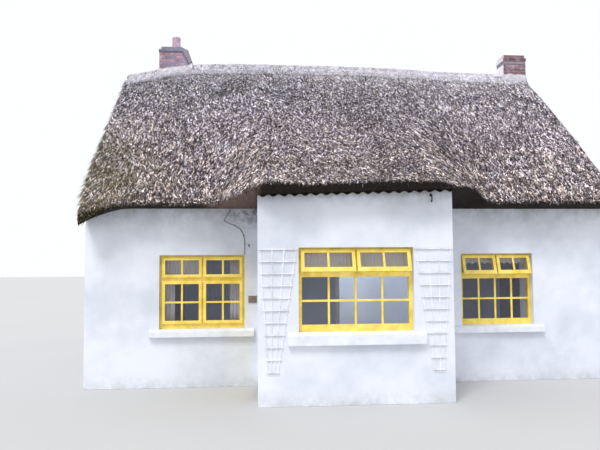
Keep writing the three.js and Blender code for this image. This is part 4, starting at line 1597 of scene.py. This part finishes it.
@dataclass
class Stack:
    """A brick stack above the straw: its bricks, laid round the solid, and its mortar."""

    node: str
    shaft: Shaft
    courses: Sequence[tuple[float, float, float]]  # each run of courses: its foot, its head and how far it stands out
    brick: tuple[float, float, float] = (0.215, 0.1025, 0.065)
    joint: float = 0.01
    proud: float = 0.003  # how far a brick stands out of its mortar
    least: float = 0.03  # the shortest cut brick
    bare: int = -1  # the face that has no bricks
    rake: tuple[float, float, float] = (0.0, 1.0, 0.0)  # a shoulder's head, its drop and how far it reaches out
    seed: int = 1

    def sites(self) -> list[tuple[float, float, float, float, float]]:
        """Finds each brick's middle, turn and length along its face.

        Returns:
            The bricks in a mixed order.
        """
        rng = random.Random(self.seed)
        found = []
        for foot, head, out in self.courses:
            rows = max(1, round((head - foot) / (self.brick[2] + self.joint)))
            for row in range(rows):
                z = foot + (row + 0.5) * (head - foot) / rows
                for face in range(4):
                    if face != self.bare:
                        found += self.course(face, z, out, row % 2 == 0)
        rng.shuffle(found)
        return found

    def course(self, face: int, z: float, out: float, broken: bool) -> list[tuple[float, float, float, float, float]]:
        """Lays one course on one face.

        Args:
            face: the front, right, back or left face, from 0 to 3.
            z: the course's middle.
            out: how far the course stands out of the shaft.
            broken: whether it starts with a half brick.

        Returns:
            Each brick's middle, turn and length.
        """
        length, deep, _ = self.brick
        x0, x1, half = self.shaft.x0 - out, self.shaft.x1 + out, self.shaft.half + out
        head_of_rake, drop, reach = self.rake
        wide = face % 2 == 0
        span = (x1 - x0) if wide else 2 * half
        extra = reach * min(1.0, max(0.0, (head_of_rake - z - 0.03) / drop)) if wide else 0
        end = span / 2 + extra
        middle = Vector(((x0 + x1) / 2, 0, z))
        along = Vector((1, 0, 0)) if wide else Vector((0, 1, 0))
        away = Vector((0, -1, 0)) if wide else Vector((1, 0, 0))
        away = away if face < 2 else -away
        at = half if wide else (x1 - x0) / 2
        found = []
        s = -span / 2 - (length / 2 if broken else 0)
        while s < end - 2 * self.joint:
            a, b = max(s, -span / 2), min(s + length, end)
            if b - a > self.least:
                centre = middle + along * (a + b) / 2 + away * (at + self.proud - deep / 2)
                found.append((*centre, 0.0 if wide else math.pi / 2, (b - a) / length))
            s += length + self.joint
        return found

    def build(self, finish: bpy.types.Material, mortar: bpy.types.Material, tree: Weave,
              brick: bpy.types.Object) -> None:
        """Lays the bricks, and dresses the solid as their mortar.

        Args:
            finish: the bricks' finish.
            mortar: the mortar's finish.
            tree: the tree that sets bricks.
            brick: the shape of one brick.
        """
        sites = self.sites()
        mesh = bpy.data.meshes.new("sites")
        mesh.from_pydata([s[:3] for s in sites], [], [])
        rng = random.Random(self.seed + 40)
        set_attribute(mesh, "turn", [s[3] for s in sites])
        set_attribute(mesh, "size", [(s[4], 1, 1) for s in sites])
        set_attribute(mesh, "tint", [rng.random() for _ in sites])
        carrier = new_object("sites", mesh, finish)
        piece = tree.grow(carrier, f"{self.node}_bricks", Brick=brick, Wobble=0.012, Seed=self.seed, Finish=finish)
        bpy.data.objects.remove(carrier)
        settle(piece, "brick")
        soften(self.node, 0.006, mortar, "brick")


@dataclass
class Chimneys:
    """Both stacks, the pot, and the cement at their feet."""

    palette: Palette
    front: StrawCoat
    back: StrawCoat
    band: float = 0.045  # thickness of the straw band at the stacks
    inset: float = 0.034  # how far the left cap stands back from its shaft
    pot_sides: int = 48
    skirt_out: float = 0.06
    skirt_tall: float = 0.105
    skirt_steps: int = 20  # points on each side of a skirt
    skirt_limit: float = 4.32  # a skirt ends inside the house's gables

    def build(self) -> None:
        """Builds the stacks, the pot and the cement skirts."""
        bm = bmesh.new()
        bmesh.ops.create_cube(bm, size=1)
        bmesh.ops.scale(bm, vec=Stack.brick, verts=bm.verts)
        eased(bm, 0.005, 1)
        brick = new_object("brick_shape", finished(bm, bpy.data.meshes.new("brick")), self.palette.red_brick)
        tree = brick_tree()
        left = Stack("chimney_left", LEFT_SHAFT, [(5.8, 6.392, 0)], bare=1, rake=(6.392, 0.246, 0.125), seed=4)
        courses = [(5.6, 6.266, 0), (6.345, 6.414, 0.01), (6.414, 6.478, -0.017)]
        right = Stack("chimney_right", RIGHT_SHAFT, courses, bare=3, seed=9)
        left.build(self.palette.lilac_brick, self.palette.mortar, tree, brick)
        right.build(self.palette.red_brick, self.palette.mortar, tree, brick)
        bpy.data.objects.remove(brick)
        self.cement()
        self.left_cap()
        self.right_band()
        self.pot()
        self.skirt("chimney_left_flaunching", LEFT_SHAFT, SHOULDER)
        self.skirt("chimney_right_flaunching", RIGHT_SHAFT)

    def cement(self) -> None:
        """Builds the cement coat and fillet on the right stack's inner side, and the patch at the left's foot, in
        cement painted near white with painted sunlight.
        """
        skin = Batch()
        for x, half, foot, head in ((3.815, 0.181, 5.9, 6.268), (3.805, 0.191, 6.342, 6.414),
                                    (3.832, 0.164, 6.412, 6.477)):
            skin.box((x - 0.005, -half, foot), (x - 0.0005, half, head))
        skin.prism([(3.6, 6.0), (3.8095, 6.0), (3.8095, 6.225)], 0.15)
        skin.prism([(-3.16, 6.05), (-2.97, 6.05), (-2.97, 6.165)], 0.186)
        settle(skin.build("chimney_cement", self.palette.skin, 0.003), "brick")

    def left_cap(self) -> None:
        """Builds the left stack's weathered cap, with a dark strip of painted shadow under it and down its shoulder."""
        x0, x1, top, half = LEFT_SHAFT.x0, LEFT_SHAFT.x1, LEFT_SHAFT.top, LEFT_SHAFT.half
        cap = Batch()
        cap.box((x0 - 0.012, -half - 0.012, top - 0.102), (x1 + 0.01, half + 0.012, top - 0.06))
        inner = half - self.inset
        cap.box((x0 + self.inset, -inner, top - 0.064), (x1 - self.inset, inner, top + 0.003))
        cap.prism([(x1 - 0.04, top - 0.077), (x1 - 0.04, top + 0.003), (x1 + 0.101, top - 0.077)], inner)
        settle(cap.build("chimney_left_cap", self.palette.cap, 0.005), "brick")
        # Painted shadow: a dark strip under the cap and down the shoulder.
        painted_shade_and_moss = Batch()
        painted_shade_and_moss.box((x0 - 0.013, -half - 0.013, top - 0.127), (x1 + 0.008, half + 0.013, top - 0.102))
        foot, head, wide = Vector((x1 + SHOULDER, top - 0.37)), Vector((x1 + 0.002, top - 0.124)), 0.026
        across = (head - foot).orthogonal().normalized() * wide
        across = across if across.x < 0 else -across
        painted_shade_and_moss.prism([foot, head, head + across, foot + across], half + 0.022)
        settle(painted_shade_and_moss.build("chimney_left_slates", self.palette.painted_shade_and_moss, 0.004), "brick")

    def right_band(self) -> None:
        """Builds the mortar band round the right stack, with a dark strip of painted shadow under it and dark moss on
        its top.
        """
        x0, x1, top, half = RIGHT_SHAFT.x0, RIGHT_SHAFT.x1, RIGHT_SHAFT.top, RIGHT_SHAFT.half
        band, joint = Batch(), Batch()
        band.box((x0 - 0.001, -half - 0.002, top - 0.196), (x1 + 0.001, half + 0.002, top - 0.14))
        # Painted shadow under the band.
        joint.box((x0 + 0.001, -half - 0.001, top - 0.213), (x1 - 0.001, half + 0.001, top - 0.196))
        # Moss on the stack's top.
        joint.box((x0 + 0.013, -half + 0.013, top - 0.012), (x1 - 0.013, half - 0.013, top + 0.004))
        settle(band.build("chimney_right_band", self.palette.mortar, 0.005), "brick")
        settle(joint.build("chimney_right_joint", self.palette.painted_shade_and_moss, 0.003), "brick")

    def pot(self) -> None:
        """Turns the clay pot."""
        low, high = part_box("chimney_pot")
        middle = (low + high) / 2
        tall = high.z - low.z
        profile = [(0.09, 0), (0.09, 0.012), (0.089, 0.03), (0.087, 0.09), (0.0845, tall - 0.05), (0.086, tall - 0.045),
                   (0.089, tall - 0.04), (0.0895, tall - 0.02), (0.088, tall - 0.008), (0.084, tall - 0.001),
                   (0.076, tall - 0.002), (0.07, tall - 0.012), (0.066, tall - 0.05), (0.063, 0.1), (0.062, 0.0)]
        points = [(middle.x + r * math.cos(a), middle.y + r * math.sin(a), low.z + z)
                  for r, z in profile for a in round_angles(self.pot_sides)]
        pot = Batch()
        pot.add(points, lattice(len(profile), self.pot_sides, closed=True))
        settle(pot.build("chimney_pot_turned", self.palette.clay, smooth=True), "clay", "chimney_pot")

    def skirt(self, name: str, shaft: Shaft, shoulder: float = 0.0) -> None:
        """Builds the sloped cement fillet where a stack comes through the straw.

        Args:
            name: the piece's name.
            shaft: the stack's place.
            shoulder: how far its foot stands out to the right.
        """
        x0, x1, half = shaft.x0, shaft.x1 + shoulder, shaft.half
        corners = [(x0, -half), (x1, -half), (x1, half), (x0, half)]
        inner = [(ax + (bx - ax) * k / self.skirt_steps, ay + (by - ay) * k / self.skirt_steps)
                 for (ax, ay), (bx, by) in zip(corners, corners[1:] + corners[:1]) for k in range(self.skirt_steps)]
        middle = (x0 + x1) / 2
        points: list[tuple[float, float, float]] = []
        for x, y in inner:
            nx = 0.0 if x0 < x < x1 else math.copysign(1, x - middle)
            ny = 0.0 if -half < y < half else math.copysign(1, y)
            away = Vector((nx, ny)).normalized()
            ragged = 1 + 0.3 * noise.noise(Vector((x * 9, y * 9, 4)))
            ox, oy = x + away.x * self.skirt_out * ragged, y + away.y * self.skirt_out * ragged
            ox = min(max(ox, -self.skirt_limit), self.skirt_limit)
            high = self.level(x, y) + self.skirt_tall * ragged
            points += [(x - away.x * 0.02, y - away.y * 0.02, high), (x + away.x * 0.004, y + away.y * 0.004, high),
                       (ox, oy, self.level(ox, oy) + 0.02), (ox, oy, self.level(ox, oy) - 0.06),
                       (x - away.x * 0.02, y - away.y * 0.02, self.level(x, y) - 0.12)]
        skirt = Batch()
        skirt.add(points, lattice(len(inner), len(points) // len(inner), closed=True))
        settle(skirt.build(name, self.palette.flaunching, smooth=True), "cement_sheet")

    def level(self, x: float, y: float) -> float:
        """Height of the ridge band's surface at a place in plan."""
        return (self.front if y < 0 else self.back).height(x, y) + self.band


# Small parts


@dataclass
class Trim:
    """Trellises, number plate, cable and the hook under the bay's eave."""

    palette: Palette

    def build(self) -> None:
        """Builds and dresses the small parts."""
        dress(["trellis_left", "trellis_right"], self.palette.white_paint)
        dress(["wall_cable"], self.palette.cable)
        self.plate()
        self.clips()
        self.hook()

    def plate(self) -> None:
        """Builds the bare plate with a raised rim and a screw in each corner."""
        low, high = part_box("number_plate")
        plate = Batch()
        rim = 0.009
        plate.box((low.x, low.y + 0.004, low.z), (high.x, high.y, high.z))
        for x0, x1, z0, z1 in ((low.x, high.x, high.z - rim, high.z), (low.x, high.x, low.z, low.z + rim),
                               (low.x, low.x + rim, low.z + rim, high.z - rim),
                               (high.x - rim, high.x, low.z + rim, high.z - rim)):
            plate.box((x0, low.y, z0), (x1, low.y + 0.005, z1))
        for x in (low.x + 0.018, high.x - 0.018):
            for z in (low.z + 0.018, high.z - 0.018):
                plate.tube([(x, low.y + 0.005, z), (x, low.y + 0.0015, z)], 0.004, 12)
        settle(plate.build("number_plate_rimmed", self.palette.plate, 0.0012), "plate", "number_plate")

    def clips(self) -> None:
        """Builds the small clips that hold the cable to the wall."""
        clips = Batch()
        wide, tall, wall = 0.012, 0.004, -3.0
        for x, z in ((-2.052, 2.79), (-1.978, 2.566), (-1.828, 2.4), (-1.811, 2.26)):
            clips.box((x - wide, wall - 0.014, z - tall), (x + wide, wall - SOLID_GAP, z + tall))
        settle(clips.build("wall_cable_clips", self.palette.cable, 0.001), "cable")

    def hook(self) -> None:
        """Builds the small iron hook under the bay's eave, and the staple beside the left wall's cable."""
        x, y = 0.845, -4.372
        bends = [(-0.02, 2.915), (0.03, 2.915), (0.045, 2.905), (0.05, 2.885), (0.05, 2.84), (0.046, 2.826),
                 (0.035, 2.818), (0.022, 2.822), (0.016, 2.834)]
        iron = Batch()
        iron.tube([(x, y - out, z) for out, z in bends], 0.0085, 10)
        iron.box((x - 0.016, y - 0.004, 2.895), (x + 0.016, y, 2.935))
        settle(iron.build("eave_hook", self.palette.iron, smooth=True), "cable")
        staple = Batch()
        x, y, z = -1.747, -3.0, 2.244
        bends = [(0, -0.02, 0), (0, 0.02, 0), (0.004, 0.028, -0.01), (0.004, 0.028, -0.03)]
        staple.tube([(x + right, y - out, z + up) for right, out, up in bends], 0.007, 10)
        staple.box((x - 0.014, y - 0.004, z - 0.014), (x + 0.014, y, z + 0.014))
        settle(staple.build("wall_staple", self.palette.zinc, smooth=True), "cable")


@dataclass
class Walls:
    """Masonry walls and the floor, which keep their solids' shapes."""

    palette: Palette

    def build(self) -> None:
        """Dresses the walls and the floor."""
        names = [s["node"] for s in frame["record"]["subparts"] if s["material_slot"] == "limewash"]
        dress(names, self.palette.limewash)
        dress(["floor"], self.palette.concrete)


# Studio


@dataclass
class Studio:
    """The pale floor, the soft light and the camera at the photograph's angle."""

    eye: tuple[float, float, float] = (-1.647, -12.525, 2.028)
    yaw: float = -4.38
    pitch: float = 3.25
    roll: float = -0.34
    focal_px: float = 587.7
    frame_px: int = 600
    sensor: float = 36.0
    key_from: tuple[float, float, float] = (-0.35, -0.6, 1.0)
    key_angle: float = 20.0
    key_energy: float = 1.8
    sky: Colour = (0.96, 0.97, 1.0)
    sky_strength: float = 1.03
    glow_colour: Colour = (0.8, 0.88, 1.0)
    glow_size: float = 0.9
    floor_half: float = 60.0
    floor_z: float = -0.002

    def build(self) -> None:
        """Builds the studio."""
        self.floor()
        self.light()
        self.camera()
        bpy.context.scene.view_settings.view_transform = "Standard"

    def floor(self) -> None:
        """Lays the plain pale floor."""
        g = Graph("studio_floor")
        g.surface(Base_Color=g.mix(g.noise(0.4), (0.5, 0.5, 0.5), (0.54, 0.54, 0.54)), Roughness=0.9)
        mesh = bpy.data.meshes.new("studio_floor")
        corners = [(-1, -1), (1, -1), (1, 1), (-1, 1)]
        mesh.from_pydata([(x * self.floor_half, y * self.floor_half, self.floor_z) for x, y in corners], [],
                         [(0, 1, 2, 3)])
        new_object("studio_floor", mesh, g.material)

    def light(self) -> None:
        """Lights the house as an even bright sky does, with a weak glow in the porch and the room."""
        world = bpy.data.worlds.new("sky")
        bpy.context.scene.world = world
        world.use_nodes = True
        back = world.node_tree.nodes["Background"]
        back.inputs["Color"].default_value = (*self.sky, 1)
        back.inputs["Strength"].default_value = self.sky_strength
        lamp = bpy.data.lights.new("soft_key", "SUN")
        lamp.angle = math.radians(self.key_angle)
        lamp.energy = self.key_energy
        key = bpy.data.objects.new("soft_key", lamp)
        key.rotation_euler = Vector(self.key_from).to_track_quat("Z", "Y").to_euler()
        bpy.context.scene.collection.objects.link(key)
        for name, place, energy in (("porch_glow", (-0.2, -3.7, 2.6), 24), ("room_glow", (0.2, -0.9, 2.7), 44)):
            glow = bpy.data.lights.new(name, "AREA")
            glow.size = self.glow_size
            glow.energy = energy
            glow.color = self.glow_colour
            held = bpy.data.objects.new(name, glow)
            held.location = place
            bpy.context.scene.collection.objects.link(held)

    def camera(self) -> None:
        """Places the camera by the fitted yaw, pitch and roll."""
        yaw, pitch, roll = (math.radians(a) for a in (self.yaw, self.pitch, self.roll))
        level = Vector((-math.sin(yaw), math.cos(yaw), 0))
        right = Vector((math.cos(yaw), math.sin(yaw), 0))
        up = Vector((0, 0, 1))
        ahead = level * math.cos(pitch) + up * math.sin(pitch)
        top = up * math.cos(pitch) - level * math.sin(pitch)
        across = right * math.cos(roll) + top * math.sin(roll)
        above = top * math.cos(roll) - right * math.sin(roll)
        data = bpy.data.cameras.new("camera")
        data.sensor_fit = "HORIZONTAL"
        data.sensor_width = self.sensor
        data.lens = self.focal_px / self.frame_px * self.sensor
        data.clip_end = 200
        camera = bpy.data.objects.new("camera", data)
        turn = Matrix((across, above, -ahead)).transposed().to_4x4()
        camera.matrix_world = Matrix.Translation(self.eye) @ turn
        bpy.context.scene.collection.objects.link(camera)
        bpy.context.scene.camera = camera


def main() -> None:
    """Builds the studio and the house, piece by piece."""
    logging.basicConfig(level=logging.INFO, format="%(message)s")
    palette = Palette()
    Studio().build()
    Walls(palette).build()
    front, back = StrawRoof(palette).build()
    Openings(palette).build()
    Chimneys(palette, front, back).build()
    Trim(palette).build()


if __name__ == "__main__":
    main()
